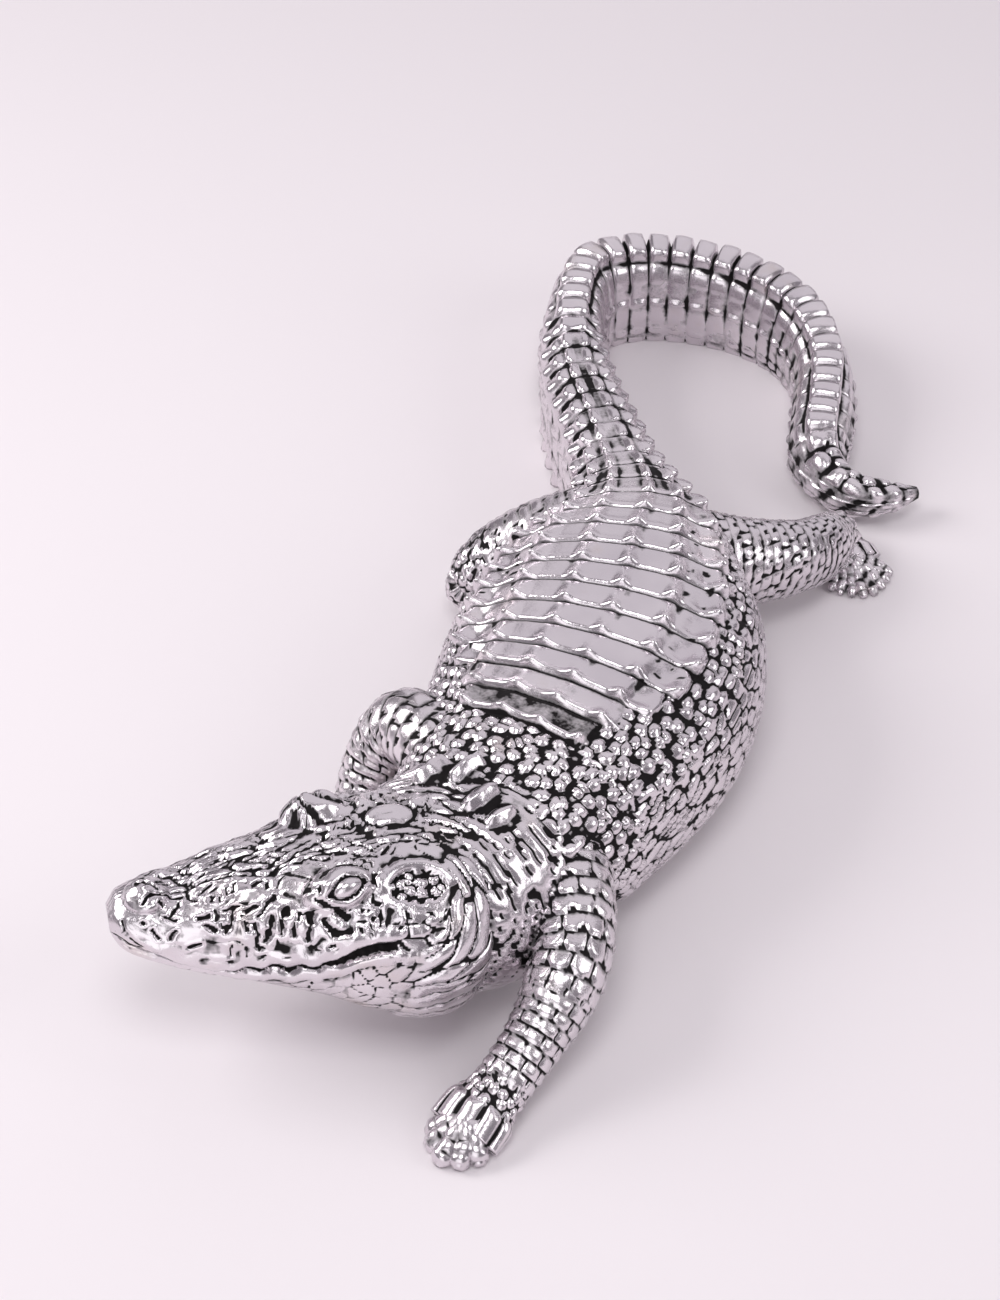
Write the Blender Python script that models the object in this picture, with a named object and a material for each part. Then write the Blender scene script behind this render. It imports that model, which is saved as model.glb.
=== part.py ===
"""A crocodile ornament, cast in one piece: walking, head turned to its right, tail curled round to its left.

It faces -Y and lies on Z = 0. The origin is the middle of its belly, on the plane that it lies on.
The figure was drawn FIGURE_LENGTH long, from the near forefoot to the far bend of the tail, and every place,
width and height below is in drawn millimetres, as shares of that length.
"""

import math

import bmesh
import bpy
import numpy as np
from mathutils import Vector

FIGURE_LENGTH = 0.400
DRAWN_LENGTH = 400.0
MM = FIGURE_LENGTH / DRAWN_LENGTH

# Carving heights and depths, in drawn millimetres
SCUTE_LIFT = 1.1
KEEL_HEIGHT = 1.9
CREST_HEIGHT = 4.2
BLADE_HEIGHT = 6.0
MOUTH_DEPTH = 2.6
LIP_LIFT = 1.3

# Rows of scutes across the back and round the tail
BACK_ROWS = 12
TAIL_ROWS = 40
BACK_SHRINK = 1.1
TAIL_SHRINK = 0.7
TIP_ROWS = 18
# Where each row has its rings: groove, lip and back edge, as shares of the row
BACK_PHASES = (0.0, 0.22, 0.8)
TAIL_PHASES = (0.0, 0.24, 0.78)
TIP_PHASES = (0.0, 0.5)
LIP_PHASE = 0.5
BACK_EDGE_SHARE = 0.8
NECK_RINGS = (0.0, 8.0, 18.0, 28.0, 39.0)
TIP_LEFT_PLAIN = 4.0

SILVER = (0.80, 0.78, 0.80, 1.0)
SILVER_ROUGHNESS = 0.22

# Body from inside the neck to the tip of the tail: x, y, underside z, top z, half width
BODY = (
    (-28, -110, 12, 56, 29),
    (-18, -99, 6, 58, 33),
    (-11, -86, 2, 58, 33),
    (-6, -67, -1, 59, 36.5),
    (-1.5, -46, -2, 60, 43),
    (2, -20, -2, 61, 48.5),
    (2.5, 6, -2, 61, 49),
    (0.5, 30, -2, 59, 44),
    (-2.5, 52, -2, 55, 33),
    (-8.5, 71, -3, 50, 21),
    (-17.5, 89, -4, 45, 15),
    (-29, 111, -4, 42, 12.5),
    (-41.5, 133, -4, 40, 11.4),
    (-51, 155, -4, 38, 11),
    (-57, 177, -4, 37, 11),
    (-58, 201, -4, 36, 10.5),
    (-43, 214.5, -4, 35, 9.8),
    (-22, 219, -4, 34, 9.5),
    (0, 216.5, -4, 32, 9.2),
    (20, 206, -4, 29.5, 9.2),
    (33, 188, -4, 26, 10),
    (38, 167, -4, 22.5, 11),
    (40.5, 148, -1, 19.5, 9.8),
    (47, 134.5, 3, 18, 7),
    (57, 129, 5, 16, 5.8),
    (67, 132, 6, 13.5, 4.4),
    (77, 139, 6.5, 10.5, 1.8),
)

# Head along its own axis: distance in front of the skull's back edge, underside z, top z, half width
SKULL_BACK = (-17.0, -106.0)
HEAD_TURN = 60.0
HEAD = (
    (-14, 18, 53, 20),
    (-6, 8, 57, 27),
    (4, 5, 60, 31),
    (15, 8, 61, 31),
    (26, 12.5, 61, 28.5),
    (36, 17.5, 60.5, 25),
    (48, 22, 58.5, 21),
    (60, 27, 56.5, 17.5),
    (71, 31.5, 54, 14.2),
    (80, 35.5, 54, 11.5),
    (87, 39.5, 53, 8.2),
    (90.5, 44, 50, 3.8),
)

# Lumps that stand on the head: distance, sideways, z, then radii along, across and up
BROWS = ((29, 13.8, 57.0, 10.5, 6.4, 6.6), (31, -14.5, 57.4, 9.8, 6.2, 7.0))
CHEEKS = ((6, 19, 36, 18, 13, 18), (6, -19, 36, 18, 13, 18))
NOSTRILS = ((79.6, 0.6, 54.2, 6.4, 6.3, 3.3),)

# Big keeled scutes on the nape: x, y, z, then radii along the body, across it and up
NAPE_SCUTES = (
    (-24.5, -83.0, 56.0, 6.5, 5.0, 4.6),
    (-15.5, -80.5, 57.0, 6.5, 4.6, 4.8),
    (-8.5, -90.0, 57.1, 6.5, 4.6, 4.8),
    (-2.0, -94.0, 54.5, 6.5, 4.8, 4.6),
)
NAPE_TURN = 30.0

# Limbs: x, y, z of the middle, half width, half height. A hind leg's foot is a piece of its own route.
LIMBS = {
    "fore_left": (
        (8, -76, 30, 16, 16),
        (17.5, -92, 30, 13, 14),
        (23.5, -108, 27, 11, 12),
        (23, -121, 21, 10.4, 11),
        (19.5, -134, 15, 9.8, 9.5),
        (14.5, -146, 9, 9.8, 7.5),
        (10.5, -154, 5, 11, 6.0),
        (8, -160, 3, 10.6, 4.6),
    ),
    "fore_right": (
        (-20, -64, 35, 16, 16),
        (-32, -55, 38, 13, 13),
        (-46.5, -46.5, 34.5, 11, 11),
        (-54, -51.5, 23, 9.5, 9.5),
        (-56, -62, 12, 8.2, 8),
        (-57, -72, 6, 8.6, 6),
        (-58, -79, 3, 8.0, 4.6),
    ),
    "hind_left": (
        (12, 58, 28, 18, 19),
        (30, 68, 24, 14, 15),
        (44, 79, 20, 11.5, 13),
        (52, 91, 16, 10, 12),
        (54, 103, 11, 8.4, 9.5),
        (55, 110, 7, 7.0, 7.5),
        (55, 114, 5.5, 4.0, 4.5),
    ),
    "hind_left_foot": (
        (53.5, 109, 5.5, 5.0, 4.0),
        (57, 108, 5.5, 7.4, 6.0),
        (60, 105.5, 4, 8.4, 5.2),
        (63, 102, 3, 8.8, 4.4),
    ),
    "hind_right_thigh": (
        (-16, 62, 29, 16, 18),
        (-33, 56, 27, 13.5, 14),
        (-45, 49, 22, 12, 12.5),
        (-54, 43, 17.5, 9.5, 10),
    ),
    "hind_right_foot": (
        (-53, 37, 20, 6.5, 7),
        (-53, 43, 13.5, 9, 9),
        (-49.5, 53, 8.5, 8.6, 7.5),
        (-48, 62, 5, 8.5, 6),
        (-48, 70, 3, 8.5, 4.4),
    ),
}

# Toes: foot, how many, base x and y, direction of the middle toe in degrees, fan, length, radius
TOES = {
    "fore_left": (5, 9, -157.5, 248, 104, 14.5, 3.9),
    "fore_right": (5, -57.5, -76.5, 262, 100, 13.5, 3.5),
    "hind_left_foot": (5, 61, 104, 316, 84, 17.0, 3.2),
    "hind_right_foot": (4, -48, 69, 118, 84, 14.0, 3.2),
}

# Points round each ring, and rings along each piece
BODY_SIDES = 20
HEAD_RINGS = 21
LIMB_RINGS = 11
LIMB_SIDES = 10
TOE_SIDES = 6
LUMP_SEGMENTS, LUMP_RINGS = 8, 6

# Each toe lies a little higher than the one before, so that no two share a face
TOE_RISE = 0.13
OUTER_TOES_SHORTER = 0.16

# How square each section is, 2 being an oval, over and under its widest height
BODY_SQUARE_OVER, TAIL_SQUARE_OVER, BODY_SQUARE_UNDER = 2.3, 2.6, 2.6
HEAD_SQUARE_OVER, HEAD_SQUARE_UNDER = 2.7, 2.2
# The widest height, as a share of the section's height
BODY_WAIST, HEAD_WAIST = 0.42, 0.46


def clear_scene():
    for thing in list(bpy.data.objects):
        bpy.data.objects.remove(thing)


def smooth_curve(stations, count):
    """Count rows of the stations' values, on a Catmull-Rom curve through the stations."""
    rows = np.array(stations, float)
    rows = np.vstack([2 * rows[0] - rows[1], rows, 2 * rows[-1] - rows[-2]])
    spans = len(rows) - 3
    result = []
    for place in np.linspace(0, spans, count):
        i = min(int(place), spans - 1)
        t = place - i
        a, b, c, e = rows[i : i + 4]
        bend = 2 * a - 5 * b + 4 * c - e
        twist = 3 * b - a - 3 * c + e
        result.append(0.5 * (2 * b + (c - a) * t + bend * t**2 + twist * t**3))
    return np.array(result)


class Spine:
    """A route with a changing section, read by its distance along the ground plan."""

    def __init__(self, stations):
        self.rows = smooth_curve(stations, 40 * len(stations))
        steps = np.linalg.norm(np.diff(self.rows[:, :2], axis=0), axis=1)
        self.along = np.concatenate([[0.0], np.cumsum(steps)])
        self.length = self.along[-1]

    def at(self, distance):
        return np.array([np.interp(distance, self.along, column) for column in self.rows.T])

    def across(self, distance):
        """Unit vector in plan to the figure's left of the route, which runs from head to tail."""
        step = self.at(distance + NEAR)[:2] - self.at(distance - NEAR)[:2]
        step /= np.linalg.norm(step)
        return np.array([step[1], -step[0]])


def power(value, exponent):
    return math.copysign(abs(value) ** exponent, value)


def section_point(angle, low, high, half_width, square_over, square_under, waist):
    """Sideways and z of a squarish oval, and its outward direction. The angle is counted from the top."""
    middle = low + waist * (high - low)
    tall = high - middle if math.cos(angle) >= 0 else middle - low
    roundness = 2 / (square_over if math.cos(angle) >= 0 else square_under)
    side = half_width * power(math.sin(angle), roundness)
    up = tall * power(math.cos(angle), roundness)
    outward = np.array([side / half_width**2, up / tall**2])
    return side, middle + up, outward / np.linalg.norm(outward)


def between(value, low, high):
    """0 below low, 1 above high, and a smooth step in between."""
    share = min(1.0, max(0.0, (value - low) / (high - low)))
    return share * share * (3 - 2 * share)


def loft(name, rings):
    """A closed mesh through rings of the same number of points, with its two ends filled."""
    mesh = bmesh.new()
    loops = [[mesh.verts.new(Vector(point) * MM) for point in ring] for ring in rings]
    sides = len(loops[0])
    for first, second in zip(loops, loops[1:]):
        for i in range(sides):
            j = (i + 1) % sides
            mesh.faces.new((first[i], first[j], second[j], second[i]))
    mesh.faces.new(loops[0][::-1])
    mesh.faces.new(loops[-1])
    return outward_mesh(name, mesh)


def outward_mesh(name, mesh):
    """The bmesh as mesh data, its faces turned outwards."""
    mesh.normal_update()
    bmesh.ops.recalc_face_normals(mesh, faces=mesh.faces)
    if mesh.calc_volume(signed=True) < 0:
        bmesh.ops.reverse_faces(mesh, faces=mesh.faces)
    data = bpy.data.meshes.new(name)
    mesh.to_mesh(data)
    mesh.free()
    return data


def add_object(name, data):
    thing = bpy.data.objects.new(name, data)
    bpy.context.scene.collection.objects.link(thing)
    return thing


# Angles of the body's points from the top round to the underside, on one side.
# The second, fourth and sixth points are the keels: near the spine, beside it, and at the armour's edge.
TRUNK_ANGLES = (0, 6.5, 14, 23.5, 33, 42, 60, 84, 110, 144, 180)
TAIL_BASE_ANGLES = (0, 10, 19, 29, 39, 49, 66, 86, 110, 144, 180)
TAIL_ANGLES = (0, 6, 11, 17, 26, 38, 56, 79, 105, 140, 180)
NEAR_KEEL, MIDDLE_KEEL, EDGE_KEEL = 1, 3, 5

# Distances along the spine, in drawn millimetres
ARMOUR_START = 57.5
FULL_WIDTH_START = 78.0
TAIL_START = 186.0
BACK_TO_TAIL = (148.0, 198.0)
TAIL_SQUARES = (138.0, 218.0)
CREST_STARTS = (153.0, 193.0)
CREST_JOINS = (262.0, 315.0)
TIP_LENGTH = 14.0
MOUTH_CORNER = (14.0, 22.0)
MOUTH_DROPS = (14.0, 48.0)

# Half the distance over which a route's direction is read
NEAR = 0.5
# Point of the head's ring that lies in the mouth's groove, counted from the top, and its angle at the
# corner and along the snout
MOUTH_POINT = 5
MOUTH_ANGLES = (66.0, 94.0)
# Keels get lower along the tail, and a tail wall's edge keel is lower than the back's
TAIL_KEEL_LOSS = 0.45
# The back is rolled a little to the figure's right
BACK_ROLL = 4.0
WALL_KEEL_SHARE = 0.5


def body_angle(index, distance):
    """The angle of a point on the body's ring: the two tail crests draw together into one."""
    to_tail = between(distance, *BACK_TO_TAIL)
    to_blade = between(distance, *CREST_JOINS)
    base = TRUNK_ANGLES[index] * (1 - to_tail) + TAIL_BASE_ANGLES[index] * to_tail
    return math.radians(base * (1 - to_blade) + TAIL_ANGLES[index] * to_blade)


def scute_relief(index, distance, phase, fade):
    """How far a point of the armour stands out. Phase runs from a row's front groove to its back edge."""
    last = EDGE_KEEL if distance > FULL_WIDTH_START else MIDDLE_KEEL
    if phase == 0 or index > last:
        return 0.0
    to_tail = between(distance, *CREST_STARTS)
    to_blade = between(distance, *CREST_JOINS)
    relief = SCUTE_LIFT
    if index in (NEAR_KEEL, MIDDLE_KEEL):
        relief += KEEL_HEIGHT * (1 - TAIL_KEEL_LOSS * to_tail)
    if index == EDGE_KEEL:
        relief += KEEL_HEIGHT * (1 - to_tail) + CREST_HEIGHT * to_tail
    if index < MIDDLE_KEEL:
        relief = relief * (1 - to_blade) + BLADE_HEIGHT * to_blade
    elif index == EDGE_KEEL:
        relief = relief * (1 - to_blade) + WALL_KEEL_SHARE * KEEL_HEIGHT * to_blade
    return relief * fade * (1.0 if phase <= LIP_PHASE else BACK_EDGE_SHARE)


def row_edges(start, end, count, last_share):
    """Distances of count + 1 row edges, the last row last_share as long as the first."""
    lengths = np.linspace(1.0, last_share, count)
    return start + (end - start) * np.concatenate([[0.0], np.cumsum(lengths)]) / lengths.sum()


def body_mesh():
    """Neck, trunk and tail, with a ring at each groove and lip of the armour's rows."""
    spine = Spine(BODY)
    places = [(distance, 0.0) for distance in NECK_RINGS]
    back = row_edges(ARMOUR_START, TAIL_START, BACK_ROWS, BACK_SHRINK)
    tip = spine.length - TIP_LEFT_PLAIN
    tail = row_edges(TAIL_START, tip, TAIL_ROWS, TAIL_SHRINK)
    parts = (back, BACK_PHASES), (tail[:-TIP_ROWS], TAIL_PHASES), (tail[-TIP_ROWS - 1 :], TIP_PHASES)
    for edges, phases in parts:
        for start, end in zip(edges, edges[1:]):
            places += [(start + phase * (end - start), phase) for phase in phases]
    places += [(tip, 0.0), (spine.length, 0.0)]
    rings = []
    for distance, phase in places:
        x, y, low, high, half_width = spine.at(distance)
        across = spine.across(distance)
        fade = min(1.0, (spine.length - distance) / TIP_LENGTH)
        slim = between(distance, *TAIL_SQUARES)
        square = BODY_SQUARE_OVER * (1 - slim) + TAIL_SQUARE_OVER * slim
        roll = math.radians(BACK_ROLL * (1 - between(distance, *BACK_TO_TAIL)))
        ring = []
        for side in (1, -1):
            order = range(BODY_SIDES // 2) if side > 0 else range(BODY_SIDES // 2, 0, -1)
            for index in order:
                angle = side * body_angle(index, distance) - roll
                shape = low, high, half_width, square, BODY_SQUARE_UNDER, BODY_WAIST
                out, up, outward = section_point(angle, *shape)
                relief = scute_relief(index, distance, phase, fade)
                out += outward[0] * relief
                up += outward[1] * relief
                ring.append((x + across[0] * out, y + across[1] * out, up))
        rings.append(ring)
    return loft("body", rings)


def head_frame(degrees):
    """Plan directions ahead and to the left, for a piece turned to the figure's right by degrees."""
    turn = math.radians(degrees)
    ahead = np.array([-math.sin(turn), -math.cos(turn)])
    return ahead, np.array([-ahead[1], ahead[0]])


def head_angle(steps, distance):
    """The angle of a point of the head's ring, so many steps down its side: the mouth drops along the snout."""
    corner, snout = MOUTH_ANGLES
    mouth = corner + (snout - corner) * between(distance, *MOUTH_DROPS)
    if steps <= MOUTH_POINT:
        return math.radians(mouth * steps / MOUTH_POINT)
    share = (steps - MOUTH_POINT) / (BODY_SIDES // 2 - MOUTH_POINT)
    return math.radians(mouth + (180.0 - mouth) * share)


def head_mesh():
    """Skull and jaws as one shape, with the mouth's groove along each side."""
    ahead, left = head_frame(HEAD_TURN)
    rows = smooth_curve(HEAD, HEAD_RINGS)
    rings = []
    for distance, low, high, half_width in rows:
        ring = []
        for i in range(BODY_SIDES):
            steps = min(i, BODY_SIDES - i)
            angle = math.copysign(head_angle(steps, distance), BODY_SIDES / 2 - i)
            shape = low, high, half_width, HEAD_SQUARE_OVER, HEAD_SQUARE_UNDER, HEAD_WAIST
            out, up, outward = section_point(angle, *shape)
            steps_from_mouth = abs(steps - MOUTH_POINT)
            in_mouth = between(distance, *MOUTH_CORNER)
            relief = {0: -MOUTH_DEPTH, 1: LIP_LIFT}.get(steps_from_mouth, 0.0) * in_mouth
            out += outward[0] * relief
            up += outward[1] * relief
            place = np.array(SKULL_BACK) + ahead * distance + left * out
            ring.append((place[0], place[1], up))
        rings.append(ring)
    return loft("head", rings)


def lump_mesh(name, centre, ahead, left, z, radii):
    """An egg-shaped lump with its long way turned to the plan direction ahead."""
    mesh = bmesh.new()
    bmesh.ops.create_uvsphere(mesh, u_segments=LUMP_SEGMENTS, v_segments=LUMP_RINGS, radius=1.0)
    for vert in mesh.verts:
        x, y, up = vert.co
        place = centre + ahead * x * radii[0] + left * y * radii[1]
        vert.co = Vector((place[0], place[1], z + up * radii[2])) * MM
    return outward_mesh(name, mesh)


def lump_meshes():
    """Brows, cheeks and nostrils, set out along the head, and the nape's scutes, set out along the neck."""
    ahead, left = head_frame(HEAD_TURN)
    made = []
    for distance, sideways, z, *radii in BROWS + CHEEKS + NOSTRILS:
        centre = np.array(SKULL_BACK) + ahead * distance + left * sideways
        made.append(lump_mesh("head_lump", centre, ahead, left, z, radii))
    ahead, left = head_frame(NAPE_TURN)
    for x, y, z, *radii in NAPE_SCUTES:
        made.append(lump_mesh("nape_scute", np.array([x, y]), ahead, left, z, radii))
    return made


def tube_rings(rows, sides, turn=0.0):
    """Rings square to a route in space. Each row is x, y, z, half width and half height."""
    rings = []
    for i, row in enumerate(rows):
        centre = Vector(row[:3])
        step = Vector(rows[min(i + 1, len(rows) - 1)][:3]) - Vector(rows[max(i - 1, 0)][:3])
        step.normalize()
        across = step.cross(Vector((0, 0, 1))).normalized()
        above = across.cross(step)
        ring = []
        for k in range(sides):
            angle = 2 * math.pi * k / sides + turn
            ring.append(centre + across * row[3] * math.cos(angle) + above * row[4] * math.sin(angle))
        rings.append(ring)
    return rings


def toe_rows(x, y, heading, length, radius, rise):
    """A toe lying on the ground: knuckle, pad and blunt claw."""
    ahead = (math.cos(heading), math.sin(heading))
    shape = ((0.0, 3.6, 1.0), (0.45, 2.8, 1.0), (0.85, 1.5, 0.75), (1.0, 0.9, 0.3))
    rows = []
    for far, up, wide in shape:
        size = radius * wide
        rows.append((x + ahead[0] * length * far, y + ahead[1] * length * far, up + rise, size, size))
    return rows


def limb_meshes():
    made = []
    for name, stations in LIMBS.items():
        rows = smooth_curve(stations, LIMB_RINGS)
        made.append(loft(name, tube_rings(rows, LIMB_SIDES)))
        if name not in TOES:
            continue
        count, x, y, middle, fan, length, radius = TOES[name]
        for k in range(count):
            spread = (k / (count - 1) - 0.5) * fan
            heading = math.radians(middle + spread)
            reach = length * (1 - OUTER_TOES_SHORTER * abs(2 * k / (count - 1) - 1))
            rows = toe_rows(x, y, heading, reach, radius, TOE_RISE * k)
            made.append(loft(f"{name}_toe_{k + 1}", tube_rings(rows, TOE_SIDES, math.pi / 2)))
    return made


def floor_cutter():
    """A block whose top is the plane that the figure lies on."""
    mesh = bmesh.new()
    bmesh.ops.create_cube(mesh, size=2.0)
    for vert in mesh.verts:
        x, y, up = vert.co
        vert.co = Vector((x * DRAWN_LENGTH, y * DRAWN_LENGTH, (up - 1) * DRAWN_LENGTH / 2)) * MM
    return outward_mesh("floor", mesh)


def silver():
    material = bpy.data.materials.new("antique_silver")
    material.use_nodes = True
    shader = material.node_tree.nodes["Principled BSDF"]
    shader.inputs["Base Color"].default_value = SILVER
    shader.inputs["Metallic"].default_value = 1.0
    shader.inputs["Roughness"].default_value = SILVER_ROUGHNESS
    return material


def hide_helper(thing):
    thing.hide_render = True
    thing.display_type = "WIRE"


def build():
    clear_scene()
    crocodile = add_object("crocodile", body_mesh())
    crocodile.data.materials.append(silver())
    joined = bpy.data.collections.new("joined")
    bpy.context.scene.collection.children.link(joined)
    for data in [head_mesh()] + limb_meshes() + lump_meshes():
        thing = bpy.data.objects.new(data.name, data)
        joined.objects.link(thing)
        hide_helper(thing)
    union = crocodile.modifiers.new("one cast", "BOOLEAN")
    union.operation = "UNION"
    union.operand_type = "COLLECTION"
    union.collection = joined
    cutter = add_object("ground", floor_cutter())
    hide_helper(cutter)
    flat = crocodile.modifiers.new("flat underside", "BOOLEAN")
    flat.operation = "DIFFERENCE"
    flat.object = cutter


build()
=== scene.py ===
# %% [markdown]
# # A crocodile cast in antique silver
# The real ornament is one casting in resin, plated with silver, darkened, and then polished so that the
# black stays in the hollows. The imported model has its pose, outline, armour rows and crests. This script
# gives it a skin with the fine carving, the plated finish, a pale floor and a studio. Such a skin could be
# sculpted with a brush. Here formulas raise it from a grid, so one number changes a whole row of scutes,
# and it comes out the same each time.

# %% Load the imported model
import math

import bpy
import numpy as np
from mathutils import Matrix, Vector
from mathutils.kdtree import KDTree


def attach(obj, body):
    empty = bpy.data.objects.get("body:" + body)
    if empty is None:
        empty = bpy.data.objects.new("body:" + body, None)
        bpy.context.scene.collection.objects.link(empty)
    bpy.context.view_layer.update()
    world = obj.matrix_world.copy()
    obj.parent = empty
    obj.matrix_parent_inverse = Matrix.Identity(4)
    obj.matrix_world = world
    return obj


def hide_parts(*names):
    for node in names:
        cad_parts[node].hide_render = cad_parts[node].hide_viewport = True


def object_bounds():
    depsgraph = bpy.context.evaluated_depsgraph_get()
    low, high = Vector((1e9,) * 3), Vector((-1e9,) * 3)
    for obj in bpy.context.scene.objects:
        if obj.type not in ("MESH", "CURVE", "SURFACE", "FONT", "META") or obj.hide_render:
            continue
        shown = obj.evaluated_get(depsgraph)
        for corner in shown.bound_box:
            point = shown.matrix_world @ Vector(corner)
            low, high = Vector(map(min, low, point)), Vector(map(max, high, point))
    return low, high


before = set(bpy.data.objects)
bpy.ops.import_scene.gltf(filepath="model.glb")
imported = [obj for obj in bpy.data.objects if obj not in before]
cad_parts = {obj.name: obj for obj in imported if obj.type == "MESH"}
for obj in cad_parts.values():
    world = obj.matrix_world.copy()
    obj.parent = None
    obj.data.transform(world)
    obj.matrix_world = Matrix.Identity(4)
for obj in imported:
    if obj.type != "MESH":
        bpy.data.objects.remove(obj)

cad_low, cad_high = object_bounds()
print("packed box in mm:", [round(1000 * value, 1) for value in (*cad_low, *cad_high)])

# %% [markdown]
# ## The camera
# The photograph was taken with a long lens from the front and above. The camera could be placed by eye, but
# two angles and a distance are easier to read. A camera looks along its own -Z, so it is set back from a
# target and turned with `to_track_quat`.

# %% Camera at the photograph's angle
AZIMUTH, ELEVATION = math.radians(17.0), math.radians(43.0)
DISTANCE = 0.85
TARGET = Vector((-0.0397, 0.0296, 0.0))
level = math.cos(ELEVATION)
back = Vector((math.sin(AZIMUTH) * level, -math.cos(AZIMUTH) * level, math.sin(ELEVATION)))
camera = bpy.data.objects.new("camera", bpy.data.cameras.new("camera"))
bpy.context.scene.collection.objects.link(camera)
camera.location = TARGET + DISTANCE * back
camera.rotation_euler = (-back).to_track_quat("-Z", "Y").to_euler()
camera.data.lens = 72.0
camera.data.sensor_width = 36.0
camera.data.clip_start = 0.01
bpy.context.scene.camera = camera
print("camera at", [round(value, 3) for value in camera.location])

# %% [markdown]
# ## The same stations as the solid
# Neck, trunk and tail of the casting are one body along a bent spine, with a section that changes. A stack
# of primitives would show where it is joined. A short table of stations stays easy to change. Sizes are in
# millimetres until a mesh is made.

# %% Stations of the body, from inside the neck to the tip of the tail: x, y, underside, top, half width
MM = 0.001
BODY = (
    (-28, -110, 12, 56, 29),
    (-18, -99, 6, 58, 33),
    (-11, -86, 2, 58, 33),
    (-6, -67, -1, 59, 36.5),
    (-1.5, -46, -2, 60, 43),
    (2, -20, -2, 61, 48.5),
    (2.5, 6, -2, 61, 49),
    (0.5, 30, -2, 59, 44),
    (-2.5, 52, -2, 55, 33),
    (-8.5, 71, -3, 50, 21),
    (-17.5, 89, -4, 45, 15),
    (-29, 111, -4, 42, 12.5),
    (-41.5, 133, -4, 40, 11.4),
    (-51, 155, -4, 38, 11),
    (-57, 177, -4, 37, 11),
    (-58, 201, -4, 36, 10.5),
    (-43, 214.5, -4, 35, 9.8),
    (-22, 219, -4, 34, 9.5),
    (0, 216.5, -4, 32, 9.2),
    (20, 206, -4, 29.5, 9.2),
    (33, 188, -4, 26, 10),
    (38, 167, -4, 22.5, 11),
    (40.5, 148, -1, 19.5, 9.8),
    (47, 134.5, 3, 18, 7),
    (57, 129, 5, 16, 5.8),
    (67, 132, 6, 13.5, 4.4),
    (77, 139, 6.5, 10.5, 1.8),
)
print("stations:", len(BODY))

# %% [markdown]
# Straight lines from station to station would show as facets. A Catmull-Rom curve passes through every
# station and needs no handles, and it can carry the section's sizes along with the places.

# %% A smooth route through stations
def smooth_curve(stations, count):
    """Count rows of the stations' values, on a Catmull-Rom curve through the stations."""
    rows = np.array(stations, float)
    rows = np.vstack([2 * rows[0] - rows[1], rows, 2 * rows[-1] - rows[-2]])
    place = np.linspace(0, len(rows) - 3, count)
    i = np.minimum(place.astype(int), len(rows) - 4)
    t = (place - i)[:, None]
    a, b, c, e = (rows[i + k] for k in range(4))
    return 0.5 * (2 * b + (c - a) * t + (2 * a - 5 * b + 4 * c - e) * t**2 + (3 * b - a - 3 * c + e) * t**3)


def route_of(stations):
    """The curve in fine steps, and the distance along it in plan at each step."""
    rows = smooth_curve(stations, 40 * len(stations))
    steps = np.linalg.norm(np.diff(rows[:, :2], axis=0), axis=1)
    return rows, np.concatenate([[0.0], np.cumsum(steps)])


spine, spine_along = route_of(BODY)
BODY_LENGTH = spine_along[-1]
print("length along the spine:", round(BODY_LENGTH, 1), "mm")

# %% [markdown]
# ## Rows of scutes
# A crocodile's scutes lie in rows right across the back and round the tail. Evenly spaced rings would cut
# through grooves and lips at random. So every ring of the mesh is set on a share of its row, the phase, and
# each groove and each steep lip falls on an edge and stays sharp.

# %% Rings of the body, as distance, row and phase
BACK_ROWS, TAIL_ROWS = 12, 40
ARMOUR_START, TAIL_START = 57.5, 186.0
TRUNK_PHASES = (0.0, 0.03, 0.07, 0.12, 0.18, 0.26, 0.35, 0.45, 0.55, 0.65, 0.75, 0.84, 0.92, 0.97)
TAIL_PHASES = (0.0, 0.07, 0.16, 0.35, 0.6, 0.84, 0.93)
SPLIT_ROW = 15
NECK_RINGS = 76
TIP_CAP = 4.0


def row_edges(start, end, count, last_share):
    """Distances of count + 1 row edges, the last row last_share as long as the first."""
    lengths = np.linspace(1.0, last_share, count)
    return start + (end - start) * np.concatenate([[0.0], np.cumsum(lengths)]) / lengths.sum()


edges = np.concatenate([
    row_edges(ARMOUR_START, TAIL_START, BACK_ROWS, 1.1),
    row_edges(TAIL_START, BODY_LENGTH - TIP_CAP, TAIL_ROWS, 0.7)[1:],
])
neck_rings = np.linspace(0.0, ARMOUR_START, NECK_RINGS, endpoint=False)
trunk_rows = np.concatenate([i + np.array(TRUNK_PHASES) for i in range(SPLIT_ROW)])
tail_rows = np.concatenate([i + np.array(TAIL_PHASES) for i in range(SPLIT_ROW, BACK_ROWS + TAIL_ROWS)])
row_numbers = np.arange(len(edges))
trunk_rings = np.concatenate([neck_rings, np.interp(trunk_rows, row_numbers, edges)])
trunk_rows = np.concatenate([np.full(len(neck_rings), -1.0), trunk_rows])
tail_rings = np.concatenate([np.interp(tail_rows, row_numbers, edges), [edges[-1], BODY_LENGTH]])
tail_rows = np.concatenate([tail_rows, [len(edges) - 1.0, len(edges) - 1.0]])
print("rings:", len(trunk_rings), "in the trunk and", len(tail_rings), "in the tail")

# %% [markdown]
# ## Sections
# The trunk is broad with a flat back, and the tail is a tall narrow slab. A circle can't do both, so each
# ring is a squarish oval whose corners can be set. Points are spread along its outline by length and not by
# angle, close together over the back and flanks and further apart below, where the carving is plain.

# %% Points of the rings
def blend(value, low, high):
    """0 below low, 1 above high, and a smooth step in between."""
    share = np.clip((value - low) / (high - low), 0.0, 1.0)
    return share * share * (3 - 2 * share)


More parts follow.
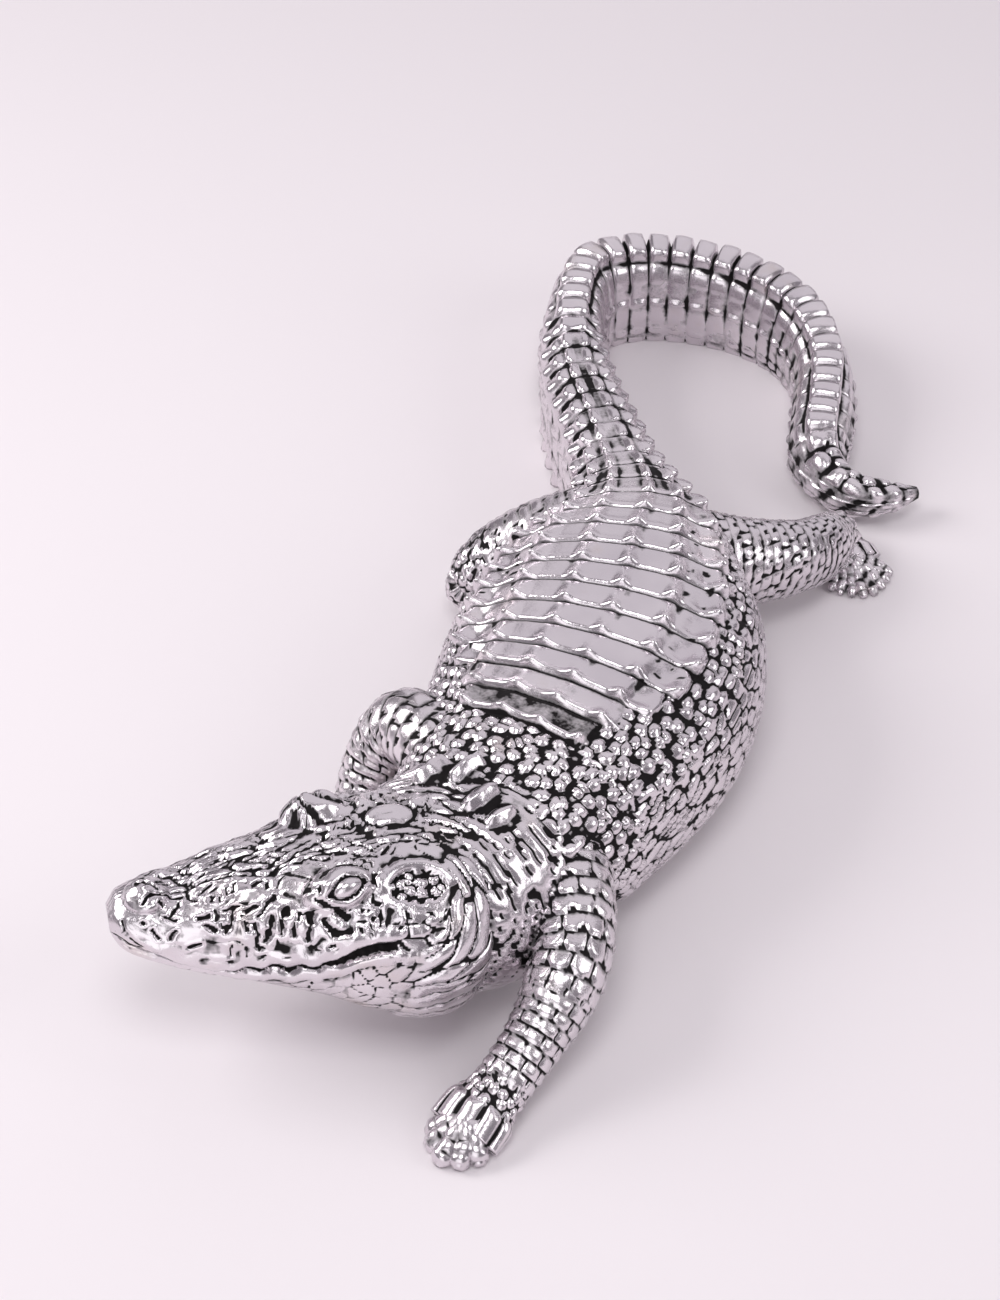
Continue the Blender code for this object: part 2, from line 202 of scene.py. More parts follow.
def oval(low, high, half_width, square_over, square_under, waist, count=241):
    """Sideways and height along one side of a squarish oval, from its top to its underside."""
    angle = np.linspace(0.0, np.pi, count)
    over = np.cos(angle) >= 0
    middle = low + waist * (high - low)
    roundness = 2 / np.where(over, square_over, square_under)
    side = half_width * np.abs(np.sin(angle)) ** roundness
    tall = np.where(over, high - middle, middle - low)
    rise = tall * np.sign(np.cos(angle)) * np.abs(np.cos(angle)) ** roundness
    return side, middle + rise


def spread(count, dense_share, dense_outline):
    """Count + 1 shares of a side's outline: dense_share of the points lie on its first dense_outline."""
    return np.interp(np.linspace(0, 1, count + 1), (0, dense_share, 1), (0, dense_outline, 1))


print("points of a section:", oval(0, 50, 40, 2.3, 2.6, 0.42)[0].shape[0])

# %% [markdown]
# ## Chance
# Carving is relief: a height added along the surface. A hand-carved scale is never quite like the next one,
# so chance comes first. Blender's own noise for scripts, in `mathutils.noise`, takes one point at a time,
# which is slow for a hundred thousand. These two take whole arrays: `scatter` gives each place its own
# fixed number, and `wander` is smooth noise, for lumps and for bending other patterns so that nothing looks
# ruled.

# %% Fixed chance and smooth noise
def scatter(a, b, c, seed):
    """A repeatable number from 0 to 1 for each whole-number place."""
    a, b, c = (place.astype(np.int64) for place in (a, b, c))
    mixed = (a * 73856093) ^ (b * 19349663) ^ (c * 83492791)
    mixed = (mixed ^ (seed * 2654435761)) & 0xFFFFFFFF
    mixed = ((mixed ^ (mixed >> 15)) * 2246822519) & 0xFFFFFFFF
    mixed = ((mixed ^ (mixed >> 13)) * 3266489917) & 0xFFFFFFFF
    return (mixed ^ (mixed >> 16)) / 4294967296.0


def wander(points, size, seed):
    """Smooth noise from -1 to 1, with lumps about size wide."""
    scaled = points / size
    base = np.floor(scaled)
    t = scaled - base
    t = t * t * (3 - 2 * t)
    total = 0.0
    for i in (0, 1):
        for j in (0, 1):
            for k in (0, 1):
                weight = (t[..., 0] if i else 1 - t[..., 0]) * (t[..., 1] if j else 1 - t[..., 1])
                weight = weight * (t[..., 2] if k else 1 - t[..., 2])
                total = total + weight * scatter(base[..., 0] + i, base[..., 1] + j, base[..., 2] + k, seed)
    return 2 * total - 1


print("chance at three places:", np.round(scatter(np.arange(3.0), np.zeros(3), np.zeros(3), 1), 2))

# %% [markdown]
# ## Beads and cracked skin
# Behind the head the casting is covered with round beads, and its flanks with flat pebbles that touch. Both
# are the same trick: points are scattered on a jittered grid, and each place measures how far the nearest
# two are. Domes on the points are beads. The lines midway between two points are cracks. Thousands of
# modelled beads would cost far more triangles and wouldn't melt into the skin.

# %% Cells, beads and cracked scales
def cells(u, v, jitter, seed):
    """Distances to the nearest and the second nearest scattered point, in cell widths, on staggered rows."""
    row = np.floor(v)
    nearest = np.full(u.shape, 9.0)
    second = np.full(u.shape, 9.0)
    for b in (-1, 0, 1):
        shifted = u - 0.5 * ((row + b) % 2)
        column = np.floor(shifted)
        for a in (-1, 0, 1):
            x = column + a + 0.5 + jitter * (scatter(column + a, row + b, row * 0, seed) - 0.5)
            y = row + b + 0.5 + jitter * (scatter(column + a, row + b, row * 0, seed + 1) - 0.5)
            gap = np.hypot(shifted - x, v - y)
            second = np.minimum(second, np.maximum(nearest, gap))
            nearest = np.minimum(nearest, gap)
    return nearest, second


def beads(u, v, size, seed, jitter=0.5):
    """Round beads, 0 between them and 1 on top."""
    nearest, second = cells(u / size, v / size, jitter, seed)
    dome = np.sqrt(np.clip(1 - (nearest / 0.56) ** 2, 0, 1))
    return dome * blend(second - nearest, 0.0, 0.16)


def cracked(u, v, long, wide, seed, jitter=0.8, crack=0.25):
    """Flat-topped scales with cracks between them, 0 in a crack and 1 on a scale."""
    nearest, second = cells(u / long, v / wide, jitter, seed)
    return blend(second - nearest, 0.02, crack) * (1 - 0.35 * nearest)


print("a bead's top:", round(float(beads(np.array([0.5]), np.array([0.5]), 1.0, 1).max()), 2))

# %% [markdown]
# ## Shingles
# On the legs the scales overlap like roof tiles, each row shifted against the last. For every place the
# nearest tile whose rounded tip still reaches past it is the one that shows, so rows are tried from the
# nearest on.

# %% Overlapping scales
def shingles(along, around, long, wide, bulge=0.35, seed=5):
    """Rows of scales that overlap towards larger along, each row shifted by chance and each scale rounded."""
    row = np.floor(along / long)
    height = np.zeros(np.broadcast(along, around).shape)
    done = np.zeros(height.shape, bool)
    for k in (-1, 0, 1, 2):
        number = (row + k) * np.ones(height.shape)
        share = around / wide + 0.5 * (number % 2) + 0.3 * scatter(number, number * 0, number * 0, seed)
        across = 2 * (share - np.floor(share)) - 1
        curve = np.sqrt(1 - 0.96 * across**2)
        tip = (number + bulge * curve) * long
        here = (tip > along) & ~done
        rise = 0.3 + 0.7 * np.clip(1 - (tip - along) / (1.1 * long), 0, 1)
        line = blend(np.minimum((1 - np.abs(across)) * wide, (tip - along) * 1.2), 0.0, 0.9)
        height = np.where(here, rise * (1 - 0.25 * across**2) * (0.1 + 0.9 * line), height)
        done |= here
    return height


one_row = shingles(np.zeros((1, 5)), np.linspace(0.0, 4.0, 5)[None], 4.0, 6.0)
print("heights across one shingle:", np.round(one_row[0], 2))

# %% [markdown]
# ## Where the black stays
# Dark patina is brushed over the whole casting and wiped off again. It stays where a cloth doesn't reach. A
# painted mask would have to be redone after each change of the carving. So each carved height is compared
# with the mean height round it: a point that lies lower is in a hollow. The heights lie on a grid of rings
# and sides, so the mean is a blur of that grid.

# %% Hollows of a carved grid
DEEPEST = 0.95


def blurred(height, steps):
    """The heights smoothed over about this many steps along the rings and round them."""
    for _ in range(steps):
        along = np.concatenate([height[:1], height, height[-1:]])
        height = (along[:-2] + 2 * height + along[2:]) / 4
        height = (np.roll(height, 1, 1) + 2 * height + np.roll(height, -1, 1)) / 4
    return height


def hollows(height, strength=1.0):
    """0 on raised points, 0.5 on flat ones and DEEPEST in hollows."""
    fine, coarse = blurred(height, 5) - height, blurred(height, 22) - height
    return np.clip(0.5 + strength * (0.9 * fine + 0.55 * coarse), 0, DEEPEST)


print("a pit's hollow:", round(float(hollows(-np.eye(9))[4, 4]), 2))

# %% [markdown]
# ## Rings with a direction to push in
# A displace modifier would push points along the mesh's own normals, and deep carving would fold. Here
# every carved height is added along the section's outward direction instead, so each ring also keeps that
# direction, the distance round the section from its top, and how far each point is to the side.

# %% Ring maker
def section_rings(sections, places, across, shares, shares_right=None):
    """Points, outward directions, lengths round from the top, and sideways distances of all rings."""
    shares_right = shares if shares_right is None else shares_right
    points, outward, around, sideways = [], [], [], []
    for section, place, left, share, share_right in zip(sections, places, across, shares, shares_right):
        side, rise = oval(*section)
        length = np.concatenate([[0.0], np.cumsum(np.hypot(np.diff(side), np.diff(rise)))])
        sign = np.concatenate([np.ones(len(share)), -np.ones(len(share_right) - 2)])
        wanted = np.concatenate([share, share_right[-2:0:-1]]) * length[-1]
        out, up = np.interp(wanted, length, side), np.interp(wanted, length, rise)
        low, high, half_width, waist = section[0], section[1], section[2], section[5]
        middle = low + waist * (high - low)
        tall = np.where(up > middle, high - middle, middle - low)
        push = np.column_stack([out / half_width**2, (up - middle) / tall**2])
        push /= np.linalg.norm(push, axis=1)[:, None]
        out, wanted, push_side = out * sign, wanted * sign, push[:, 0] * sign
        points.append(np.column_stack([place[0] + left[0] * out, place[1] + left[1] * out, up]))
        outward.append(np.column_stack([left[0] * push_side, left[1] * push_side, push[:, 1]]))
        around.append(wanted)
        sideways.append(out)
    return np.array(points), np.array(outward), np.array(around), np.array(sideways)


print("a ring has", 2 * len(spread(10, 0.5, 0.5)) - 2, "points for 10 a side")

# %% [markdown]
# The body's rings stand upright and square to the spine in plan. From the hips on, the sections get slimmer
# and squarer, and more of their points lie on the walls.

# %% Rings of the body
def body_rings(distances, count):
    """Rings of the body at these distances, with count points down each side, and the stations' values."""
    values = np.column_stack([np.interp(distances, spine_along, column) for column in spine.T])
    ahead = np.column_stack([
        np.interp(distances + 0.5, spine_along, column) - np.interp(distances - 0.5, spine_along, column)
        for column in spine.T[:2]
    ])
    ahead /= np.linalg.norm(ahead, axis=1)[:, None]
    left = np.column_stack([ahead[:, 1], -ahead[:, 0]])
    slim = blend(distances, 138.0, 218.0)
    sections = [(v[2], v[3], v[4], 2.3 + 0.3 * t, 2.6, 0.42) for v, t in zip(values, slim)]
    shares = [spread(count, 0.86 + 0.06 * t, 0.70 + 0.16 * t) for t in slim]
    return section_rings(sections, values[:, :2], left, shares), values


trunk, trunk_values = body_rings(trunk_rings, 114)
tail, tail_values = body_rings(tail_rings, 56)
print("points:", trunk[0].shape[:2], tail[0].shape[:2])

# %% [markdown]
# ## The armour
# On the casting each row of scutes starts with a thin dark groove, rises steeply to a bright lip that faces
# the head, and falls off flat to the next groove. Three keels on each side run through the rows and peak at
# the lips. The plates could be modelled one by one, but 52 rows from one formula follow the bent spine by
# themselves. Each profile along a row is a short table of phases and heights, read with `np.interp`. On the
# trunk the whole armour sits a little to one side, by LEAN, because the animal rolls as it crawls.

# %% Profiles of the armour
LIFT, KEEL, CREST, BLADE = 1.0, 2.1, 4.2, 6.0
LEAN = 3.6
KEEL_PLACES = ((0.145, 0.455, 0.72), (0.26, 0.573, 0.805), (0.176, 0.388, 0.689))
BORDERS = ((0, 1, 2, 3, 4, 7, 10, 14), (0.42, 0.50, 0.62, 0.68, 0.70, 0.73, 0.77, 0.86))
ROW_PROFILE = (
    (0, 0.03, 0.07, 0.12, 0.18, 0.26, 0.35, 0.92, 0.97, 1),
    (-0.7, -0.2, 0.5, 0.88, 1.0, 0.97, 0.86, 0.62, 0.55, -0.7),
)
LIP_PROFILE = ((0, 0.07, 0.18, 0.32, 0.5), (0, 0.5, 1.0, 0.25, 0.0))
KEEL_PROFILE = (
    (0, 0.03, 0.07, 0.12, 0.18, 0.35, 0.65, 0.92, 1),
    (0.0, 0.15, 0.6, 0.95, 1.0, 0.75, 0.42, 0.2, 0.0),
)
TOOTH_PROFILE = ((0, 0.07, 0.16, 0.35, 0.6, 0.84, 0.93, 1), (0.2, 0.5, 0.95, 1.0, 1.0, 0.95, 0.5, 0.2))


def ridge(value, width):
    """1 on the line where value is 0, falling straight to 0 at width."""
    return np.clip(1 - np.abs(value) / width, 0, 1)


def keel_places(distance):
    """Where the three keels run, as shares of the half width."""
    to_tail, to_blade = blend(distance, 148, 198), blend(distance, 262, 315)
    rows = np.array(KEEL_PLACES)[:, :, None, None]
    return (rows[0] * (1 - to_tail) + rows[1] * to_tail) * (1 - to_blade) + rows[2] * to_blade


def zones(distance):
    """From 0 to 1: how far a place has come to the two crests, to the single blades and to the tail's tip."""
    return blend(distance, 153, 193), blend(distance, 262, 315), blend(distance, 478, 498)


print("keels on the back, in mm from the middle:", [round(48.5 * place, 1) for place in KEEL_PLACES[0]])

# %% [markdown]
# The plates are the floor of the armour. Their borders are a raised rim, scalloped along the sides. The
# outermost scutes are dished. The first two rows behind the nape have taller lips.

# %% Plates
def plates_relief(distance, rows, share, border, middle, points):
    """Heights of the plates, and where the dished outermost scutes are."""
    phase = rows - np.floor(rows)
    to_crest, to_blade, _ = zones(distance)
    first_rows = 1 - blend(rows, 1.9, 3.0)
    lip = np.interp(phase, *LIP_PROFILE)
    plates = np.interp(phase, *ROW_PROFILE) * LIFT * (1 - 0.3 * to_crest)
    plates = plates + (0.8 * first_rows + 0.2) * lip * (1 - to_crest) + 0.08 * wander(points, 5.0, 5)
    plates = plates * (1 - 0.4 * to_crest * (1 - to_blade))
    plates = plates + 0.7 * np.exp(-(((share - border + 0.03) / 0.03) ** 2)) * (1 - to_crest)
    outer = blend(share, middle + 0.03, middle + 0.07) * (1 - to_crest)
    dish = np.exp(-(((share - border + 0.13) / 0.07) ** 2)) * np.sin(np.pi * phase)
    return plates - outer * dish * 1.5, outer


print("a row rises from", min(ROW_PROFILE[1]), "to", max(ROW_PROFILE[1]) * LIFT, "mm")

# %% [markdown]
# On the back the keels are sharp folds that peak at each lip. Towards the tail the edge keels grow into two
# crests of teeth, the inner ones shrink to rows of studs, and a valley sinks between the crests.

# %% Keels and crests
def keels_relief(distance, rows, offset, share, edge, inside):
    """Heights of the inner keels and of the edge keels, and the depth of the valley between the crests."""
    phase = rows - np.floor(rows)
    to_crest, to_blade, _ = zones(distance)
    along_keel = np.interp(phase, *KEEL_PROFILE)
    tooth = np.interp(phase, *TOOTH_PROFILE)
    stud = 0.15 * along_keel + 0.85 * np.sqrt(np.clip(1 - ((phase - 0.4) / 0.34) ** 2, 0, 1))
    sharp = blend(distance, 85, 125)
    inner = np.exp(-((offset[0] / 2.6) ** 2)) * 0.85 * (1 - sharp)
    inner = inner + ridge(offset[0], 3.2 - 1.3 * to_crest) * 1.15 * sharp
    strong = 1.05 + 0.6 * blend(distance, 80, 140)
    inner = np.maximum(inner, np.clip(1.15 * ridge(offset[1], 3.5 - 1.2 * to_crest), 0, 1) ** 1.3 * strong)
    valley = to_crest * (1 - to_blade) * (0.6 * np.clip(1 - inner, 0, 1) - 0.2) * (share < edge)
    low_keels = inner * (along_keel * (1 - to_crest) + stud * to_crest) * KEEL
    low_keels = low_keels * (1 - 0.2 * to_crest) * (1 - to_blade)
    edge_height = KEEL * (1 - to_crest) * (0.8 + 0.85 * blend(distance, 64, 92))
    edge_height = edge_height + CREST * to_crest * (1 - to_blade) + 0.7 * to_blade
    edge_shape = along_keel * (1 - to_crest) + (0.3 * tooth + 0.7 * stud) * to_crest
    edge_keel = np.clip(1.15 * ridge(offset[2], 3.6 - 1.4 * to_crest), 0, 1) ** 1.2 * edge_shape * edge_height
    return low_keels * np.maximum(inside, to_crest), edge_keel * np.maximum(inside, to_crest), valley


print("keels up to", KEEL, "mm on the back, crests up to", CREST, "mm on the tail")

# %% [markdown]
# Past the bend of the tail one row of flat-topped blades stands on the middle line, and the tip is covered
# with lumps. The patina on the plates is wiped thin: black in the grooves, bright on the lips, with stains
# at the keels' feet and pits in the outer scutes.

# %% Blades, and the whole armour
def blades_relief(distance, rows, sideways, points):
    """Heights of the blades along the tail and of the lumps on its tip."""
    phase = rows - np.floor(rows)
    _, to_blade, to_tip = zones(distance)
    tooth = np.interp(phase, *TOOTH_PROFILE)
    blade_top = np.clip(2.4 * ridge(sideways, 5.2), 0, 1) * tooth * (BLADE - LIFT * 0.6) * to_blade
    blade_top = blade_top * (1 - to_tip) * (0.88 + 0.12 * wander(points, 9.0, 7))
    lump = 3.2 * ridge(sideways, 5.0) ** 0.6 * beads(distance + 2, sideways, 6.5, 8, 0.4) * to_tip
    return blade_top, lump


def plates_patina(rows, offset, outer, points):
    """Patina on the plates: black grooves, bright lips, stains and pits."""
    phase = rows - np.floor(rows)
    groove = ridge(np.minimum(phase, 1 - phase), 0.086) ** 0.5
    foot_inner, foot_middle = (np.exp(-(((gap - away) / 1.2) ** 2)) for gap, away in zip(offset, (2.6, 3.0)))
    foot = np.maximum(foot_middle, 0.6 * foot_inner)
    stain = foot * blend(phase, 0.45, 0.85) * blend(wander(points, 5.0, 9), -0.2, 0.6)
    pits = outer * blend(wander(points, 2.4, 10), 0.5, 0.7) * 0.45
    first = (rows < 1) * (0.19 + 0.1 * wander(points, 3.0, 12)) + (rows < 2) * 0.09 * (phase > 0.25)
    return 0.42 + 0.5 * groove + 0.55 * stain + pits + first - 0.5 * ridge(phase - 0.14, 0.12)


def armour(distance, rows, sideways, half_width, points):
    """The height of the armour, how far each point is inside it, and the patina on it."""
    phase = rows - np.floor(rows)
    to_crest, _, to_tip = zones(distance)
    near, middle, edge = keel_places(distance)
    sideways = sideways + LEAN * (1 - blend(distance, 148, 198))
    share = np.abs(sideways) / half_width
    scallop = 0.06 * np.sqrt(np.clip(1 - (2 * phase - 1.0) ** 2, 0, 1)) * (1 - to_crest)
    border = np.interp(np.floor(rows), *BORDERS) + scallop
    inside = 1 - blend(share, border, border + 0.025)
    started = (rows >= 0) * 1.0
    offset = [np.abs(sideways) - place * half_width for place in (near, middle, edge)]
    plates, outer = plates_relief(distance, rows, share, border, middle, points)
    low_keels, edge_keel, valley = keels_relief(distance, rows, offset, share, edge, inside)
    blade_top, lump = blades_relief(distance, rows, sideways, points)
    plates = plates - valley
    height = (inside * plates * (1 - to_tip) + low_keels + edge_keel + blade_top + lump) * started
    return height, inside * started, plates_patina(rows, offset, outer, points)


print("blades up to", BLADE, "mm over the tail")

# %% [markdown]
# ## Flanks
# Beside the armour lies a band of round beads, wide behind the nape and narrow at the hips, with small ones
# in the gaps. Below it come flat slanted pebbles that fade out under the belly, where the casting is plain.

# %% Beads and pebbles of the flanks
BAND_AT_HIPS, BAND_AT_NAPE = 8.0, 21.0


def flanks(distance, around, half_width, points, share_of_height):
    """Beads beside the armour, then flat scales, fading out under the body."""
    warp = 0.8 * wander(points, 8.0, 11)
    bead = 1.9 * beads(distance + warp, around + warp, 4.3, 21, 0.7)
    bead = np.maximum(bead, 0.6 * beads(distance + warp, around + warp, 2.7, 25, 0.7))
    slant = distance + 0.35 * np.abs(around)
    flat = 1.1 * cracked(slant + warp, around + warp, 6.6, 3.7, 31, jitter=0.9, crack=0.3)
    row = np.interp(distance, edges, row_numbers)
    border = 1.12 * (np.interp(row, *BORDERS) + 0.04) * half_width
    beside = np.abs(around + LEAN * (1 - blend(distance, 148, 198))) - border
    width = BAND_AT_HIPS + (BAND_AT_NAPE - BAND_AT_HIPS) * (1 - blend(distance, 66, 96))
    to_flat = blend(beside + 2.0 * wander(points, 9.0, 23), width, width + 3.0)
    return (bead * (1 - to_flat) + flat * to_flat - 0.45) * blend(share_of_height, 0.04, 0.2)


print("the band of beads is", BAND_AT_NAPE, "mm wide behind the nape and", BAND_AT_HIPS, "mm at the hips")

# %% [markdown]
# ## Neck
# The skin of the neck lies in long lens-shaped wrinkles that run in rings round the ear. So their pattern
# is laid out in the ear's own terms: distance from it, and the way round it. Towards the nape it gives way
# to beads.

# %% Wrinkles and beads of the neck
EAR = np.array([-14.8, -135.9, 48.0])


def neck(distance, around, points):
    """Long lens scales in rings round the ear, and beads over the nape and shoulders."""
    warp = 1.0 * wander(points, 8.0, 41)
    from_ear = np.linalg.norm(points - EAR, axis=-1)
    level = (points[..., 0] - EAR[0]) * 0.866 + (points[..., 1] - EAR[1]) * 0.5
    turn = np.arctan2(points[..., 2] - EAR[2], level)
    lens = 1.5 * cracked(from_ear + 0.7 * warp, 34 * turn + warp, 3.7, 16.0, 43, jitter=0.75, crack=0.2)
    bead = 1.8 * beads(distance + warp, around + warp, 4.2, 45, 0.8)
    bead = np.maximum(bead, 0.6 * beads(distance + warp, around + warp, 2.7, 49, 0.7))
    grain = 0.14 * wander(points, 2.4, 47)
    to_beads = blend(distance + 0.15 * np.abs(around - 10) + 3 * wander(points, 12.0, 46), 33, 39)
    return lens * (1 - to_beads) + bead * to_beads + grain - 0.45


print("the ear, in mm:", EAR)

# %% [markdown]
# ## Walls of the tail
# Under the blades the tail's walls are flat bands, split by a groove at each row. The grooves lean back
# near the tip. Two lines of long bumps run along each wall.

# %% Walls of the tail
def tail_walls(distance, rows, share_of_height, points):
    """Grooves down the walls of the tail, and two lines of bumps."""
    phase = rows - np.floor(rows)
    lean = phase + 1.2 * blend(distance, 400, 440) * (1 - share_of_height)
    lean = lean - np.floor(lean)
    groove = -0.4 * ridge(np.minimum(lean, 1 - lean), 0.16) * blend(share_of_height, 0.14, 0.24)
    bump = 0.0
    for height, tall in ((0.25, 0.045), (0.58, 0.04)):
        gap = np.hypot((lean - 0.5) / 0.42, (share_of_height - height) / tall)
        bump = bump + 1.1 * np.sqrt(np.clip(1 - gap**2, 0, 1))
    swell = 0.35 * np.sin(np.pi * lean) * blend(share_of_height, 0.27, 0.4)
    return groove + bump + swell + 0.35 * wander(points, 2.6, 51) * blend(share_of_height, 0.05, 0.3)


print("two lines of bumps on each wall")

# %% [markdown]
# ## The whole body
# Armour, flanks, neck and walls are mixed by where each point lies. The patina follows from the carving,
# except on the plates, which have their own. On the tail it is wiped unevenly, so its black lines come and
# go.

# %% Relief and patina of the body
def body_relief(rings, values, distances, rows):
    """The height to add to every point of the body's rings, and the patina there."""
    points, _, around, sideways = rings
    distance, row = distances[:, None], rows[:, None]
    half_width = values[:, 4][:, None]
    low, high = values[:, 2][:, None], values[:, 3][:, None]
    height = (points[..., 2] - low) / (high - low)
    plates, inside, on_plates = armour(distance, row, sideways, half_width, points)
    side = flanks(distance, around, half_width, points, height)
    wall = tail_walls(distance, row, height, points)
    to_tail = blend(distance, 170, 205)
    skin = side * (1 - to_tail) + wall * to_tail
    skin = np.where(row < 0, neck(distance, around, points), skin)
    fade = np.clip((BODY_LENGTH - distance) / 14.0, 0, 1)
    relief = (plates + skin * (1 - inside)) * fade
    flat_plates = inside * (1 - blend(distance, 160, 190))
    uneven = np.clip(0.6 - 0.5 * wander(points, 6.0, 54), 0.1, 1)
    strength = 1 - uneven * blend(distance, 185, 205)
    smudge = 0.04 + 0.09 * blend(distance, 455, 475)
    smudge = (smudge + 0.1 * wander(points, 5.0, 53)) * to_tail
    return relief, (hollows(relief, strength) + smudge) * (1 - flat_plates) + on_plates * flat_plates


trunk_height, trunk_patina = body_relief(trunk, trunk_values, trunk_rings, trunk_rows)
tail_height, tail_patina = body_relief(tail, tail_values, tail_rings, tail_rows)
print("carving from", round(trunk_height.min(), 2), "to", round(tail_height.max(), 2), "mm")

# %% [markdown]
# ## Lumps on the surface
# The brows, cheeks, nostrils and the four big scutes of the nape are lumps on the casting. A separate ball
# for each would leave a sharp joint round it. Here an egg shape pushes the skin out instead: for each point
# the way out of the egg along its own outward direction is found. So the lump grows out of the same mesh.

# %% Push points out to an egg
def out_of_egg(points, outward, centre, ahead, left, radii):
    """How far each point has to move outwards to leave the egg, 0 where it is outside it already."""
    axes = np.array([[*ahead, 0], [*left, 0], [0, 0, 1]])
    start = (points - centre) @ axes.T / radii
    way = outward @ axes.T / radii
    a, b = (way**2).sum(-1), 2 * (start * way).sum(-1)
    c = (start**2).sum(-1) - 1
    return np.where(c < 0, (-b + np.sqrt(np.maximum(b * b - 4 * a * c, 0))) / (2 * a), 0.0)


def turned(degrees):
    """Plan directions ahead and to the left, for a part turned to the animal's right."""
    turn = math.radians(degrees)
    ahead = np.array([-math.sin(turn), -math.cos(turn)])
    return ahead, np.array([-ahead[1], ahead[0]])


print("ahead for a part turned 30 degrees:", np.round(turned(30.0)[0], 2))

# %% [markdown]
# The four scutes of the nape stand in an arc behind the head, each with a sharp keel. They are dark all
# over, because a cloth hardly gets between them.

# %% Nape scutes, as x, y, height and three radii
NAPE = (
    (-24.5, -83.0, 56.0, 6.5, 5.0, 4.6),
    (-15.5, -80.5, 57.0, 6.5, 4.6, 4.8),
    (-8.5, -90.0, 57.1, 6.5, 4.6, 4.8),
    (-2.0, -94.0, 54.5, 6.5, 4.8, 4.6),
)
nape_ahead, nape_left = turned(30.0)
for x, y, z, *radii in NAPE:
    rise = out_of_egg(trunk[0], trunk[1], np.array([x, y, z]), nape_ahead, nape_left, np.array(radii))
    across_scute = (trunk[0][..., :2] - (x, y)) @ nape_left + 0.5 * wander(trunk[0], 4.0, 14)
    keel = ridge(across_scute + 0.6, 3.0)
    carved = 0.45 * rise + 3.2 * keel * np.minimum(0.5 * rise, 1.0) + 0.6 * wander(trunk[0], 2.2, 13)
    trunk_height = np.where(rise > 0.2, carved, trunk_height)
    trunk_patina = np.where(rise > 0.2, 0.72 - 0.55 * keel + 0.2 * wander(trunk[0], 2.2, 13), trunk_patina)
on_neck = trunk_rows[:, None] < 0
trunk_patina = np.where(on_neck, 0.75 * (hollows(trunk_height) + 0.03) + 0.25 * trunk_patina, trunk_patina)
trunk_points = trunk[0] + trunk[1] * trunk_height[..., None]
tail_points = tail[0] + tail[1] * tail_height[..., None]
print("nape scutes:", len(NAPE))

# %% [markdown]
# ## From rings to a closed skin
# A cast skin has no seam. A flat grid is added, its points are laid on the rings, and the two long edges
# that meet are welded. Where an end is closed, its last ring is one point, so the weld closes it too. The
# grid keeps the carving on rows and columns, which a sculpted or remeshed surface wouldn't.

# %% Roll a grid into a tube
def tube(name, rings, patina, close_start=True, close_end=True):
    """A tube of skin through the rings, in metres, with its patina, closed at the ends that are asked for."""
    rows, darkness = [rings], [np.broadcast_to(patina, rings.shape[:2])]
    if close_start:
        rows.insert(0, np.broadcast_to(rings[0].mean(axis=0), (1, *rings[0].shape)))
        darkness.insert(0, darkness[0][:1])
    if close_end:
        rows.append(np.broadcast_to(rings[-1].mean(axis=0), (1, *rings[-1].shape)))
        darkness.append(darkness[-1][-1:])
    points, darkness = np.concatenate(rows), np.concatenate(darkness)
    points = np.concatenate([points, points[:, :1]], axis=1) * MM
    darkness = np.concatenate([darkness, darkness[:, :1]], axis=1)
    bpy.ops.object.select_all(action="DESELECT")
    bpy.ops.mesh.primitive_grid_add(x_subdivisions=points.shape[1] - 1, y_subdivisions=points.shape[0] - 1)
    piece = bpy.context.object
    piece.name = name
    piece.data.vertices.foreach_set("co", points.astype(np.float32).reshape(-1))
    attribute = piece.data.attributes.new("hollow", "FLOAT", "POINT")
    attribute.data.foreach_set("value", darkness.astype(np.float32).reshape(-1))
    bpy.ops.object.mode_set(mode="EDIT")
    bpy.ops.mesh.select_all(action="SELECT")
    bpy.ops.mesh.remove_doubles(threshold=1e-7)
    bpy.ops.mesh.normals_make_consistent(inside=False)
    bpy.ops.object.mode_set(mode="OBJECT")
    return piece


def join(pieces):
    """One object from several, the first one's."""
    bpy.ops.object.select_all(action="DESELECT")
    for piece in pieces:
        piece.select_set(True)
    bpy.context.view_layer.objects.active = pieces[0]
    bpy.ops.object.join()
    return pieces[0]


print("points of the trunk and the tail:", trunk_points.size // 3 + tail_points.size // 3)

# %% [markdown]
# The tail needs fewer points round it than the trunk. So the two are tubes of their own, open where they
# meet, and the gap between the open edges is bridged. An edge with a face on one side only is non-manifold,
# which is how both edges are found.

# %% Body and tail as one skin
skin = join([
    tube("crocodile_body", trunk_points, trunk_patina, close_end=False),
    tube("tail", tail_points, tail_patina, close_start=False),
])
bpy.ops.object.mode_set(mode="EDIT")
bpy.ops.mesh.select_mode(type="EDGE")
bpy.ops.mesh.select_all(action="DESELECT")
bpy.ops.mesh.select_non_manifold(
    use_wire=False, use_multi_face=False, use_non_contiguous=False, use_verts=False
)
bpy.ops.mesh.bridge_edge_loops()
bpy.ops.mesh.select_all(action="SELECT")
bpy.ops.mesh.normals_make_consistent(inside=False)
bpy.ops.mesh.select_mode(type="VERT")
bpy.ops.object.mode_set(mode="OBJECT")
print("faces of neck, trunk and tail:", len(skin.data.polygons))

# %% [markdown]
# ## The head
# The head is turned 60 degrees to the animal's right and lifted, with a flat skull and a long snout. It
# could be sculpted, but rings keep places on it easy to name: so many millimetres along, and so many down
# the side. Eggs push out the brows, the cheeks behind the jaws, and the knob of the nostrils.

